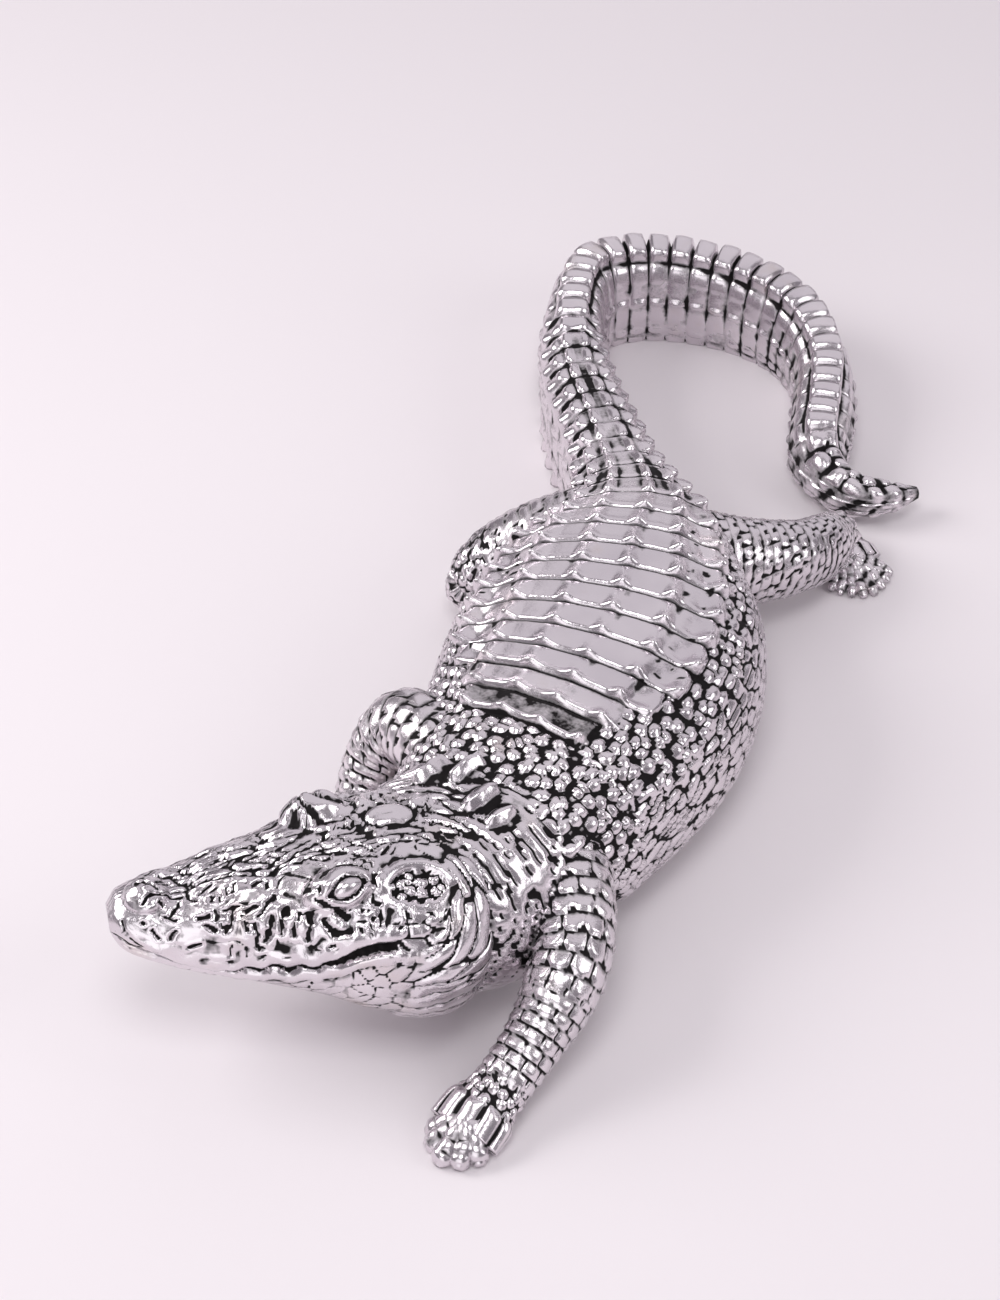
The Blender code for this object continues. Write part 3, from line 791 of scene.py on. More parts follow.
# %% Rings of the head, from stations as distance, underside, top and half width
HEAD = (
    (-14, 18, 53, 20),
    (-6, 8, 57, 27),
    (4, 5, 60, 31),
    (15, 8, 61, 31),
    (26, 12.5, 61, 28.5),
    (36, 17.5, 60.5, 25),
    (48, 22, 58.5, 21),
    (60, 27, 56.5, 17.5),
    (71, 31.5, 54, 14.2),
    (80, 35.5, 54, 11.5),
    (87, 39.5, 53, 8.2),
    (90.5, 44, 50, 3.8),
)
SKULL_BACK = np.array([-17.0, -106.0])
EGGS = (
    (29, 13.8, 57.0, 10.5, 6.4, 6.6),  # near brow
    (31, -14.5, 57.4, 9.8, 6.2, 7.0),  # far brow
    (6, 19, 36, 18, 13, 18),  # near cheek
    (6, -19, 36, 18, 13, 18),  # far cheek
    (79.6, 0.6, 54.2, 6.4, 6.3, 3.3),  # nostrils
)
HEAD_RINGS, LEFT_POINTS, RIGHT_POINTS = 190, 125, 90
head_ahead, head_left = turned(60.0)
head_values = smooth_curve(HEAD, HEAD_RINGS)
head_sections = [(v[1], v[2], v[3], 2.7, 2.2, 0.46) for v in head_values]
head_places = SKULL_BACK + np.outer(head_values[:, 0], head_ahead)
head = section_rings(
    head_sections,
    head_places,
    [head_left] * HEAD_RINGS,
    [spread(LEFT_POINTS, 0.88, 0.78)] * HEAD_RINGS,
    [spread(RIGHT_POINTS, 0.88, 0.78)] * HEAD_RINGS,
)
along = np.broadcast_to(head_values[:, 0][:, None], head[2].shape)
down = np.abs(head[2])
head_rise = np.zeros(head[2].shape)
for distance, sideways, z, *radii in EGGS:
    centre = np.array([*(SKULL_BACK + distance * head_ahead + sideways * head_left), z])
    out = out_of_egg(head[0], head[1], centre, head_ahead, head_left, np.array(radii))
    head_rise = np.maximum(head_rise, out)
head_points = head[0] + head[1] * head_rise[..., None]
print("head points:", head_points.shape[:2])

# %% [markdown]
# ## Creases of the face
# The face isn't a repeated pattern. It is smooth metal with single deep cuts: slits under the eye, long
# wrinkles on the snout, folds round the ear. A noise would give cracks, but not this face. So each cut is
# one entry of a table, from place to place, as a carver would cut it. Places are millimetres along the head
# and down its side, and below zero they lie on the far side.

# %% The carver's cuts, as along and down of both ends, and half width
CREASES = (
    # round the nostrils and the tip of the snout
    (82.2, -1.2, 79.9, -1.7, 0.72), (79.9, -1.7, 76.4, 0.9, 0.72), (80.7, 3.7, 78.2, 2.6, 0.54),
    (78.2, 2.6, 74.6, 2.5, 0.54), (74.6, 2.5, 70.7, 3.2, 0.54), (76.4, 4.7, 75.5, 5.2, 0.63),
    (76.4, -0.9, 74.6, -1.9, 0.63), (73.7, -2.5, 75.5, -4.2, 0.45), (75.3, 8.8, 72.7, 9.4, 0.63),
    (73.7, 8.4, 71.7, 5.7, 0.54), (71.7, 5.7, 71.7, 4.7, 0.54), (75.5, -6.2, 71, -4.5, 0.63),
    (70.7, 18.4, 67.6, 18.1, 0.45), (81.5, 8.9, 81.3, 9.1, 0.45), (79, 11.4, 78.2, 13.8, 0.45),
    (75.5, 14.6, 73.4, 12.6, 0.45), (87.3, 6.6, 87.1, 9.3, 0.54), (87.1, 9.3, 84.9, 12.7, 0.54),
    (84.9, 12.7, 82.2, 15.5, 0.54),
    # along the snout
    (55, 16.3, 52.3, 17.5, 0.72), (54, 13.7, 50.8, 12.9, 0.72), (53.6, 1.4, 47.8, 1.4, 0.72),
    (69.7, 3.3, 66.4, 5.7, 0.45), (69, -4.2, 67.6, -6.3, 0.54), (67.6, -6.3, 64.2, -7.3, 0.54),
    (68.6, -1, 66.4, 0.6, 0.54), (67.6, -0.6, 63.3, -2.2, 0.54), (64.2, 0, 58.4, 1.9, 0.63),
    (58.4, 1.9, 52.7, 2.8, 0.63), (65, 4.4, 61.9, 2.5, 0.54), (61.9, -5.1, 57.2, -5.6, 0.54),
    (58.4, 5.4, 58.4, 6.8, 0.81), (56, 4.9, 57.2, 7, 0.63), (62.7, 6.7, 62.8, 7.7, 0.63),
    (60.7, 7.3, 60.7, 7.8, 0.63), (56, -2, 52.3, -3.9, 0.81), (53.6, 0.9, 47.4, 1.8, 0.63),
    (59.6, -8.6, 56, -9.9, 0.63), (56, -9.2, 51.1, -9.9, 0.54), (53.2, -6.9, 49.9, -7, 0.54),
    (66.4, 10.9, 64.5, 11.2, 1.08), (65.3, 13.6, 62.7, 15.9, 0.9), (61.5, 14.3, 61.1, 16, 0.72),
    (59.9, 15.6, 59.6, 17.3, 1.35), (58.4, 15.1, 58.8, 16.7, 1.17), (57.5, 11.3, 58, 14.6, 0.9),
    (59.6, 11.4, 56, 11.3, 0.63), (54.8, 16.7, 55.1, 18.9, 0.63), (52.6, 21.4, 52.3, 23.9, 1.08),
    (54.8, 13, 51.1, 13, 0.9), (59.6, 21.4, 59.6, 24.6, 0.63),
    # before the eye
    (48.7, 12.7, 51.1, 15.9, 0.99), (46.2, 11.6, 47.7, 12.6, 1.17), (47.4, 17, 48.4, 18.7, 1.53),
    (45.4, 19, 46.4, 21.9, 1.17), (49.9, 20.2, 49.9, 22.5, 1.17), (43.7, 16.3, 44, 17.7, 1.98),
    (42.5, 20.9, 42.5, 23.6, 1.17), (52, 17.6, 52.3, 24.8, 1.17), (46.2, 4.3, 42.5, 1.8, 1.35),
    (41.6, 2.4, 37.9, 0.3, 1.35), (46.2, -1.7, 42.5, 0.7, 0.72), (51.9, -4, 47, -2.7, 0.63),
    (52.3, -6.8, 48.7, -7.9, 0.63), (48.7, -7.1, 44.6, -4.5, 0.63), (51.1, 6.2, 48.7, 5.6, 0.81),
    (47.4, 7.4, 47.4, 8.9, 1.08), (51.5, 1, 42.8, 2, 0.72), (51.1, -10.7, 43.7, -7, 0.63),
    (51.1, 6.9, 48.4, 5.9, 0.81), (47.4, 7.9, 47.4, 8.8, 0.9), (45.4, 5.2, 43.4, 4, 0.9),
    (43.4, 3.7, 38.8, 1.8, 1.17), (52.3, 18, 52.3, 20.4, 1.35), (46.2, 11.7, 49.9, 14.1, 0.9),
    (49.9, 14.1, 51.1, 16, 0.9), (47.6, 16.6, 48.3, 18.6, 1.26), (45.7, 19.3, 46.2, 21.5, 1.17),
    (49.6, 19.9, 49.9, 22, 1.17), (51.1, 24.3, 51.1, 25.3, 0.63),
    # beside the front of the eye, above and below it
    (36.1, 16.4, 30.5, 20.3, 1.13), (30.5, 20.3, 27.9, 22.4, 2.03), (33.5, 14.5, 36.3, 15.9, 0.63),
    (37.3, 15.6, 34.1, 13.9, 0.63), (40.3, 18.5, 41, 19.9, 1.71), (37.9, 19.1, 37.7, 21.4, 1.89),
    (38.4, 23.3, 38.8, 26.6, 1.17), (34.6, 21.9, 34.1, 23.9, 1.53), (34.1, 23.9, 31.3, 26.4, 1.35),
    (31.3, 26.4, 28.1, 26.8, 1.17), (34.2, 29.8, 32.8, 29.6, 0.63), (37.7, 0.3, 32.2, -1.8, 1.35),
    (32.2, -1.8, 29.4, -3.1, 0.9), (40, 3.7, 37.7, 4.6, 0.54), (34.7, 3.6, 31, 5.4, 0.63),
    (31, 5.4, 29.1, 4.4, 0.63), (35.4, -20.3, 33.3, -12.9, 0.45), (32.7, -16.3, 27.4, -15.8, 0.45),
    # beside the back of the eye
    (25.7, 26.8, 25.5, 26.9, 1.17), (21.2, 24.5, 23, 25.8, 0.54), (23, 25.8, 21.4, 27.9, 0.54),
    (22.9, 28.2, 22.8, 29.2, 0.63), (24.7, 21.6, 24.3, 21.9, 0.99), (29.4, -3.1, 24, -0.7, 0.63),
    (24, -0.7, 17.8, 4.4, 0.63), (27.2, 3.5, 24.6, 3, 0.63), (23.1, 4.4, 19.5, 6.5, 0.63),
    (20.9, -5.8, 16.4, -4.8, 0.54), (25.3, -7.5, 22.8, -7.5, 0.72), (20.9, -13.7, 19, -13.5, 0.63),
    (27.4, -15.8, 25.3, -16.2, 0.45), (20.3, 20.3, 19, 21.5, 1.35), (20.7, 17.8, 20.8, 20.3, 0.63),
    # round the ear and on the skull
    (19.5, 6.5, 16.9, 6.7, 0.63), (19.6, 8.4, 18.4, 11.8, 0.54), (15.5, 6.2, 12.1, 3.3, 0.54),
    (12.1, 3.3, 7.2, 2.9, 0.54), (17.2, 3.8, 13.4, 2, 0.54), (14, 0.3, 7.2, 0.3, 0.54),
    (7.2, 0.3, 0.2, 3.2, 0.54), (12.7, -3.2, 7, -3.3, 0.54), (7, -3.3, 2.4, -1.7, 0.54),
    (16.4, -7, 10.6, -7.8, 1.35), (8.6, -9.5, 8.4, -5.5, 0.99), (16.7, -19.1, 15.3, -17.5, 0.54),
    (6.1, -14, 0.8, -4.3, 0.54), (19.6, 14, 18.2, 16.5, 1.53), (18.3, 13, 14, 13.2, 0.72),
    (14.4, 14.4, 13.9, 17.1, 0.63), (11.7, 12.4, 10.2, 12.9, 1.17), (8.3, 12.4, 7.8, 13.5, 0.9),
    (6.1, 13, 4.3, 14.2, 1.17), (16.7, 18.4, 12.2, 19.8, 0.9), (17.9, 20.5, 13.3, 21.6, 0.63),
    (13.3, 21.6, 8.7, 23.9, 0.99), (8.7, 23.9, 5.6, 25.7, 0.99), (8.2, 20.9, 3.1, 21.4, 1.17),
    (-0.2, 16, 1.2, 20.1, 0.54), (18.4, 22.9, 19.3, 26.6, 0.81), (12.8, 23.5, 11.8, 26, 0.54),
    (11.8, 26, 14.9, 28.7, 0.54),
)
print("cuts on the near side:", len(CREASES))

# %% [markdown]
# A graver leaves a round-bottomed groove and pushes up a slight edge on both sides. Each cut is deepest
# along its line, and where cuts meet the deepest one wins. The lines are bent by noise, so that none looks
# ruled. The lower ones are mirrored to the far side of the face, which the photograph hides.

# %% Cut the grooves
NARROWER, NARROWER_FAR = 0.62, 0.72


def cut_lines(along, down, lines):
    """Depth of the cuts, with the slightly raised edges that a graver leaves."""
    depth = np.zeros(along.shape)
    edge = np.zeros(along.shape)
    for a0, d0, a1, d1, half_width in lines:
        half_width = max(half_width, 0.5)
        beside = (along > min(a0, a1) - 4) & (along < max(a0, a1) + 4)
        near = np.nonzero(beside & (down > min(d0, d1) - 4) & (down < max(d0, d1) + 4))
        x, y = along[near] - a0, down[near] - d0
        length = max((a1 - a0) ** 2 + (d1 - d0) ** 2, 0.01)
        t = np.clip((x * (a1 - a0) + y * (d1 - d0)) / length, 0, 1)
        gap = np.hypot(x - t * (a1 - a0), y - t * (d1 - d0)) / half_width
        depth[near] = np.maximum(depth[near], np.clip(1 - gap**2 * 0.8, 0, 1) * (0.55 + 0.6 * half_width))
        edge[near] = np.maximum(edge[near], ridge(gap - 2.0, 1.2) * 0.3)
    return depth, edge


signed_down = head[2]
bent_along = along + 0.9 * wander(head_points, 2.8, 62)
bent_down = signed_down + 0.7 * wander(head_points, 2.8, 63)
narrow = [(*cut[:4], NARROWER * cut[4]) for cut in CREASES]
cuts, cut_edges = cut_lines(bent_along, bent_down, narrow)
mirrored = [(a0, -d0, a1, -d1, NARROWER_FAR * w) for a0, d0, a1, d1, w in CREASES if min(d0, d1) > 20]
right_cuts, right_edges = cut_lines(bent_along, bent_down, mirrored)
cuts = np.maximum(cuts, right_cuts)
cut_edges = np.maximum(cut_edges, right_edges)
print("cuts:", len(CREASES), "and", len(mirrored), "mirrored to the far side")

# %% [markdown]
# ## The mouth
# A crocodile's mouth line waves along the snout. Cutting a mesh open there is risky, and the casting's
# mouth is closed anyway, so it is a deep groove. It is given by how far down the side it lies. Near its
# corner it opens to a lens with the tips of teeth. Above it is a bright lip band with soft lumps, and a
# thin lip lies below.

# %% Mouth, teeth and lips
MOUTH_LINE = (
    (14, 16, 21, 27, 32, 40, 46, 50, 58, 63, 68, 73, 81, 86, 90),
    (33.5, 33.2, 32.6, 33.2, 35.2, 35.6, 34, 32.6, 32.4, 31, 28.6, 24.6, 18.8, 14.5, 8),
)
head_warp = 1.2 * wander(head_points, 6.0, 61)
fine = 0.12 * wander(head_points, 1.7, 64)
lumps = 0.4 * wander(head_points, 3.6, 65) + 0.5 * wander(head_points, 8.0, 66)
waves = 0.7 * np.sin(along / 1.15) * blend(along, 33, 37) * (1 - blend(along, 60, 66))
mouth_down = np.interp(along, *MOUTH_LINE) + waves
below = down - mouth_down
has_mouth = blend(along, 15.5, 18)
lens = 1.2 * np.sqrt(np.clip(1 - ((along - 25) / 10.0) ** 2, 0, 1))
to_waves = blend(along, 34, 38)
gape = 0.75 + 0.8 * lens * (1 - to_waves) + 0.35 * to_waves * (1 - blend(along, 58, 64))
in_gape = np.clip(1.25 - (np.abs(below - 0.4 * lens) / gape) ** 2, 0, 1)
teeth = 0.9 * ridge((along / 2.7) % 1 - 0.5, 0.42) ** 0.5
teeth = teeth * ridge(below - 0.6 - 0.4 * lens, 1.6) * (along < 62)
mouth_cut = (-2.3 * in_gape + teeth * in_gape * 1.6) * has_mouth
upper_lip = (1.1 + 0.5 * wander(head_points, 3.2, 67)) * ridge(below + 3.6, 3.9) ** 0.7
lower_lip = 0.7 * ridge(below - 3.2, 2.4) ** 0.7
print("the mouth runs from", MOUTH_LINE[1][0], "to", MOUTH_LINE[1][-1], "mm down the side")

# %% [markdown]
# ## Jaw, jowl and snout
# The lower jaw has flat cracked skin, worn smooth in places. The jowl is swollen, with long wrinkles round
# the ear like those of the neck. The top of the snout is rough, like bark along the head. Fine veins run
# elsewhere. Each is a pattern of its own with a mask that says where it lies.

# %% Jaw, cheek, jowl, bark and veins
cheek = 0.8 * cracked(along + head_warp, down + head_warp, 7.0, 4.4, 75, jitter=0.95, crack=0.2) - 0.5
jaw = 0.4 * cracked(along + 2 * head_warp, down + head_warp, 5.6, 4.6, 69, jitter=0.95, crack=0.14)
jaw = jaw * (0.35 + 0.65 * blend(wander(head_points, 8.0, 68), -0.5, 0.4)) + 0.4
from_ear = np.hypot(along - 13, (down - 22) * 0.95)
turn_round_ear = np.arctan2(down - 22, 13 - along) * 15
jowl_places = (from_ear + 0.6 * head_warp, turn_round_ear + head_warp)
jowl = 1.5 * cracked(*jowl_places, 3.4, 15.0, 71, jitter=0.8, crack=0.19)
in_front = along - 4 - 0.34 * (down - 28) + head_warp
in_jowl = blend(from_ear, 11.5, 14.0) * (1 - blend(in_front, -0.5, 3.5)) * blend(down, 6, 11)
bark_places = (along + 3 * head_warp, signed_down + 1.5 * head_warp)
bark = 1.1 * cracked(*bark_places, 11.0, 2.7, 74, jitter=0.95, crack=0.3)
on_top = (1 - blend(signed_down + 2.0 * head_warp, 1.5, 6.5)) * blend(along, -6, 4)
on_top = on_top * (1 - 0.7 * blend(along, 72, 84))
near_eyes = blend(0.5 - np.abs(along - 30) / 90, 0, 0.3)
veins = ridge(wander(head_points, 4.5, 73), 0.15) * (1 - on_top) * near_eyes
print("share of the head under the jowl:", round(float(in_jowl.mean()), 2))
print("share of it under the bark:", round(float(on_top.mean()), 2))

# %% [markdown]
# The parts of the face lie over each other like coats: first lumps and cuts, then bark, cheek and lips,
# then the chin and the jowl in place of what is under them, and last the mouth. The masks of chin and jowl
# overlap a little, because a gap between them would show as a black line.

# %% Put the face together
face = lumps + fine - cuts + cut_edges - 0.5 * veins * (down < mouth_down - 5)
face = face + (bark - 0.8 + 0.5 * lumps) * on_top
face = face + cheek * blend(down, 23, 26) * (1 - blend(along, 15, 19))
face = face + (upper_lip + 0.2) * has_mouth * ridge(below + 3.6, 4.2) ** 0.3
chin = blend(below, 0.8, 2.2) * blend(in_front, -3.5, -0.5)
face = face * (1 - chin) + (jaw + lower_lip) * chin
face = face * (1 - in_jowl) + (jowl + 0.3 * wander(head_points, 3.0, 72)) * in_jowl
face = face + mouth_cut
nose = blend(along, 79, 86) * (1 - chin)
face = face * (1 - 0.6 * nose)
print("relief of the face:", round(face.min(), 2), "to", round(face.max(), 2))

# %% [markdown]
# ## Eyes, ears and the plate of the skull
# The casting's eye isn't set in. It is a smooth dome in an almond slot, with a thick lid over it, a thin
# lid under it and a beaded brow. A ball would need a socket cut for it, so dome, slot and lids are one more
# relief, measured from the eye's middle.

# %% Shape of an eye
EYE_PLACE, EYE_HALF = (27.0, 15.6), 5.0


def eye_shape(forward, lower):
    """Height of the eye and its lids at places measured from the eye's middle."""
    x, y = forward / EYE_HALF, lower - 0.19 * forward
    half = 2.5 * np.clip(1 - x**2, 0.0, 1)
    inside = np.clip(1 - (np.abs(y) / np.maximum(half, 0.05)) ** 2, 0, 1) * (np.abs(x) < 1)
    ball = -1.6 + 2.9 * np.sqrt(np.clip(1 - (forward / 4.5) ** 2 - (y / 2.7) ** 2, 0, 1))
    gap = np.abs(np.abs(y) - half) / 0.65
    slot = -1.7 * np.clip(1.25 - gap, 0, 1) * (np.abs(x) < 1.15)
    over = 1.3 * ridge(y + half * 0.9 + 2.7, 2.7) ** 0.6 * blend(1.6 - np.abs(x), 0, 0.4)
    under = 0.8 * ridge(y - half * 0.9 - 1.6, 1.3) ** 0.6 * blend(1.35 - np.abs(x), 0, 0.35)
    lids = over * (y < 0) + under * (y > 0)
    return np.where(inside > 0.02, np.maximum(ball, -1.9), lids + slot), inside


def near_oval(forward, lower, long, tall):
    """Distance from the middle of an oval, 1 on its outline."""
    return np.hypot(forward / long, lower / tall)


print("eye:", 2 * EYE_HALF, "mm long")

# %% [markdown]
# The same shapes go on both sides, because `down` counts from the top on either side. The beads of the brow
# lie on an arc, so they are laid out by angle.

# %% Eyes and brows
eye_along, eye_down = along - EYE_PLACE[0], down - EYE_PLACE[1]
shape, inside_eye = eye_shape(eye_along, eye_down)
reach = 1 - blend(near_oval(eye_along, eye_down + 1.2, 7.6, 6.4), 0.86, 1.0)
face = face * (1 - reach) + (shape + 0.12 * lumps * (inside_eye < 0.02)) * reach
brow_row = near_oval(eye_along, eye_down + 0.5, 8.4, 7.8)
brow = 0.9 * beads(np.arctan2(eye_down, eye_along) * 9.0, brow_row * 9.0, 2.7, 83, 0.3)
in_brow = (brow_row > 0.96) & (brow_row < 1.2) & (eye_down < 0.5)
face = np.where(in_brow, np.maximum(face, brow - 0.3), face)
print("the beads of the brows cover", int(in_brow.sum()), "points")

# %% [markdown]
# The ear is an oval hollow full of small beads, with a soft rim. A smooth egg-shaped plate lies on the back
# of the skull. Then the whole relief is added to the head's rings, and its patina is worked out from it.

# %% Ears, skull plate and the finished head
EAR_HALVES = (8.0, 5.4)

ear_gap = near_oval(along - 8.2, down - 17.6, *EAR_HALVES)
ear = -1.9 + 1.9 * beads(along + head_warp, down, 3.0, 81, 0.9)
rim = 1.5 * ridge(ear_gap - 1.25, 0.34) ** 0.7 * blend(19 - down, 0, 3)
face = np.where(ear_gap < 0.95, ear, face * blend(ear_gap, 1.2, 1.5) + rim)
plate_gap = near_oval(along - 11, signed_down + 8, 6.6, 4.4)
plate = 1.3 * np.sqrt(np.clip(1 - (plate_gap / 1.02) ** 2, 0, 1)) - 0.8 * ridge(plate_gap - 1.08, 0.16)
face = np.where(plate_gap < 1.2, plate - 0.5 * cuts, face)
face = face * blend(along, -14, -9)
head_points = head_points + head[1] * face[..., None]
head_patina = hollows(face, 1.15) + 0.09 * on_top
print("ear:", 2 * EAR_HALVES[0], "mm long")

# %% [markdown]
# ## Legs and toes
# The casting's legs are thick and short, with a bend at the elbow or knee. Each is a tube square to a route
# in space. Its stations are places on the route with a half width and a half height, so a wrist or a knee
# is one line to change. The far hind leg bends back on itself, so its thigh and its foot are two tubes that
# sink into each other, and so are those of the near one.

# %% Routes of the legs, as x, y, height, half width and half height
LIMBS = {
    "fore_left": (
        (8, -76, 30, 16, 16),
        (17.5, -92, 30, 13, 14),
        (23.5, -108, 27, 11, 12),
        (23, -121, 21, 10.4, 11),
        (19.5, -134, 15, 8.6, 8.6),
        (14.5, -146, 9, 8.4, 7.0),
        (10.5, -154, 5, 10.2, 6.0),
        (8, -160, 3, 10.4, 4.6),
    ),
    "fore_right": (
        (-20, -64, 35, 16, 16),
        (-32, -55, 38, 13, 13),
        (-46.5, -46.5, 34.5, 11, 11),
        (-54, -51.5, 23, 9.5, 9.5),
        (-56, -62, 12, 8.2, 8),
        (-57, -72, 6, 8.6, 6),
        (-58, -79, 3, 8.0, 4.6),
    ),
    "hind_left": (
        (12, 58, 28, 18, 19),
        (30, 68, 24, 14, 15),
        (44, 79, 20, 11.5, 13),
        (52, 91, 16, 10, 12),
        (54, 103, 11, 8.4, 9.5),
        (55, 110, 7, 7.0, 7.5),
        (55, 114, 5.5, 4.0, 4.5),
    ),
    "hind_left_foot": (
        (53.5, 109, 5.5, 5.0, 4.0),
        (57, 108, 5.5, 7.4, 6.0),
        (60, 105.5, 4, 8.4, 5.2),
        (63, 102, 3, 8.8, 4.4),
    ),
    "hind_right_thigh": (
        (-16, 62, 29, 16, 18),
        (-33, 56, 27, 13.5, 14),
        (-45, 49, 22, 12, 12.5),
        (-53, 43, 17.5, 9.5, 10),
        (-56.5, 41.5, 16, 7.5, 8),
        (-59, 40.5, 15, 3.5, 4),
    ),
    "hind_right_foot": (
        (-53, 37, 20, 6.5, 7),
        (-53, 43, 13.5, 9, 9),
        (-49.5, 53, 8.5, 8.6, 7.5),
        (-48, 62, 5, 8.5, 6),
        (-48, 70, 3, 8.5, 4.4),
    ),
}
RING_COUNTS = {"fore_left": (136, 88), "hind_left": (104, 80), "fore_right": (104, 72)}
FEWEST_RINGS = (72, 64)
print("legs:", ", ".join(LIMBS))

# %% [markdown]
# Legs run through space and not along the floor, so their rings are square to the route in all directions.
# The direction at a ring is taken over a few of its neighbours, which keeps the rings from crossing in a
# bend.

# %% Rings of a leg or toe
def limb_rings(rows, sides, reach):
    """Rings square to the route, outward directions, distance along, and length round from the top."""
    rows = np.array(rows, float)
    last = len(rows) - 1
    centres = rows[:, :3]
    step = np.array([centres[min(i + reach, last)] - centres[max(i - reach, 0)] for i in range(len(rows))])
    step /= np.linalg.norm(step, axis=1)[:, None]
    across = np.cross(step, (0, 0, 1))
    across /= np.linalg.norm(across, axis=1)[:, None]
    above = np.cross(across, step)
    angle = 2 * np.pi * np.arange(sides) / sides
    wide, tall = rows[:, 3][:, None, None], rows[:, 4][:, None, None]
    cosine, sine = np.cos(angle)[None, :, None], np.sin(angle)[None, :, None]
    points = centres[:, None] + across[:, None] * wide * cosine + above[:, None] * tall * sine
    outward = across[:, None] * cosine / wide + above[:, None] * sine / tall
    outward /= np.linalg.norm(outward, axis=2)[..., None]
    along = np.concatenate([[0], np.cumsum(np.linalg.norm(np.diff(centres, axis=0), axis=1))])
    from_top = (angle - np.pi / 2 + np.pi) % (2 * np.pi) - np.pi
    return points, outward, along[:, None], from_top[None, :] * (wide + tall)[..., 0] / 2


straight = limb_rings([(0, 0, 10, 2, 2), (5, 0, 10, 2, 2), (10, 0, 10, 2, 2)], 8, 1)
print("a straight tube is", straight[2][-1, 0], "mm long")

# %% [markdown]
# The scales of the upper leg are large and overlap. They get smaller and flatter towards the wrist, and
# turn to knobs on the back of the foot, which ends in the ridges of the fused toes. All of these are made
# for the whole leg and mixed by the share of its length. Soft noise bends their rows, as hand carving does.

# %% Carve the legs
parts = []
for name, stations in LIMBS.items():
    count, sides = RING_COUNTS.get(name, FEWEST_RINGS)
    rows = smooth_curve(stations, count)
    points, outward, along_leg, around_leg = limb_rings(rows, sides, max(1, count // 11))
    share = along_leg / along_leg[-1, 0]
    warp = 0.7 * wander(points, 9.0, 91)
    fine = 0.72 if name.startswith("hind") else 1.0
    large = 1.9 * fine * shingles(along_leg + warp, around_leg + warp, 4.8 * fine, 7.0 * fine, 0.62)
    small = 1.4 * fine * shingles(along_leg + 0.5 * warp, around_leg, 3.7 * fine, 6.0 * fine, 0.12)
    knobs = 0.9 * beads(along_leg, around_leg, 3.0, 92, 0.8) + 0.3 * wander(points, 3.0, 93)
    turn = np.pi * around_leg / around_leg.max(axis=1, keepdims=True)
    fused = 2.1 * np.sqrt(np.clip(1 - (2 * ((turn * 4.6 / np.pi + 0.5) % 1) - 1) ** 2, 0, 1)) - 0.1
    fused = fused + 0.25 * wander(points, 4.0, 94)
    to_small, to_knobs, to_toes = blend(share, 0.45, 0.6), blend(share, 0.78, 0.84), blend(share, 0.88, 0.93)
    if name.endswith("foot"):
        to_small, to_knobs, to_toes = share * 0 + 1, 1 - blend(share, 0.25, 0.4), blend(share, 0.45, 0.7)
    if name.endswith("thigh"):
        to_knobs, to_toes = blend(share, 0.5, 0.65), share * 0
    relief_leg = (large * (1 - to_small) + small * to_small) * (1 - to_knobs) + knobs * to_knobs
    relief_leg = relief_leg * (1 - to_toes) + fused * to_toes - 0.7
    darker = 0.05 if name.startswith("hind_left") else 0.0
    leg_patina = hollows(relief_leg, 0.62 + 0.15 * to_small + 0.6 * to_toes) + darker
    parts.append(tube(name, points + outward * relief_leg[..., None], leg_patina))
print("carved", len(parts), "legs and feet")

# %% [markdown]
# The toes fan out from the back of the foot, fused for half their length, and the near hind foot is a
# ribbed fan. Toes extruded from the foot would need a branching mesh. These are short tubes that start
# inside the foot, rise to a knuckle, are wrinkled across and end in a blunt tip.

# %% Toes: how many, root x, y and height, fan centre x and y, heading, fan angle, length, radius
TOES = {
    "fore_left": (5, (12.0, -149, 8.0), (9, -157.5), 248, 104, 14.5, 3.8),
    "fore_right": (5, (-56.5, -69, 7.5), (-57.5, -76.5), 262, 100, 13.5, 3.4),
    "hind_left_foot": (8, (56.5, 109.0, 10.0), (60, 105), 306, 88, 19.5, 2.3),
    "hind_right_foot": (4, (-49.5, 57, 12.5), (-48, 69), 118, 84, 14.0, 3.1),
}
TOE_SHARES, TOE_UP, TOE_WIDE = (0.2, 0.5, 0.85, 1.0), (5.4, 3.4, 1.5, 0.9), (1.0, 1.0, 0.8, 0.35)
TOE_RINGS, TOE_SIDES = 44, 22

for foot, (count, root, (x, y), middle, fan, length, radius) in TOES.items():
    darker = 0.08 if foot == "hind_left_foot" else 0.0
    for k in range(count):
        off = 2 * k / (count - 1) - 1
        heading = math.radians(middle + off * fan / 2)
        reach = length * (1 - 0.16 * abs(off))
        ahead_toe, side_toe = np.array([math.cos(heading), math.sin(heading)]), math.radians(middle + 90)
        start = np.array(root[:2]) + off * 2.1 * radius * np.array([math.cos(side_toe), math.sin(side_toe)])
        stations = [(*start, root[2] - 2.6 * abs(off), 0.7 * radius, 0.7 * radius)]
        for share, up, wide in zip(TOE_SHARES, TOE_UP, TOE_WIDE):
            plan = np.array([x, y]) + ahead_toe * reach * share
            stations.append((*plan, up + 0.13 * k, wide * radius, wide * radius))
        points, outward, along_toe, _ = limb_rings(smooth_curve(stations, TOE_RINGS), TOE_SIDES, 2)
        crease = 0.35 * np.abs(np.sin(along_toe * 0.8 + k)) ** 0.5 + 0.4 * wander(points, 2.6, 95) - 0.3
        toe_patina = hollows(crease, 0.9) + darker
        parts.append(tube(f"{foot}_toe_{k + 1}", points + outward * crease[..., None], toe_patina))
print("legs, feet and toes:", len(parts))

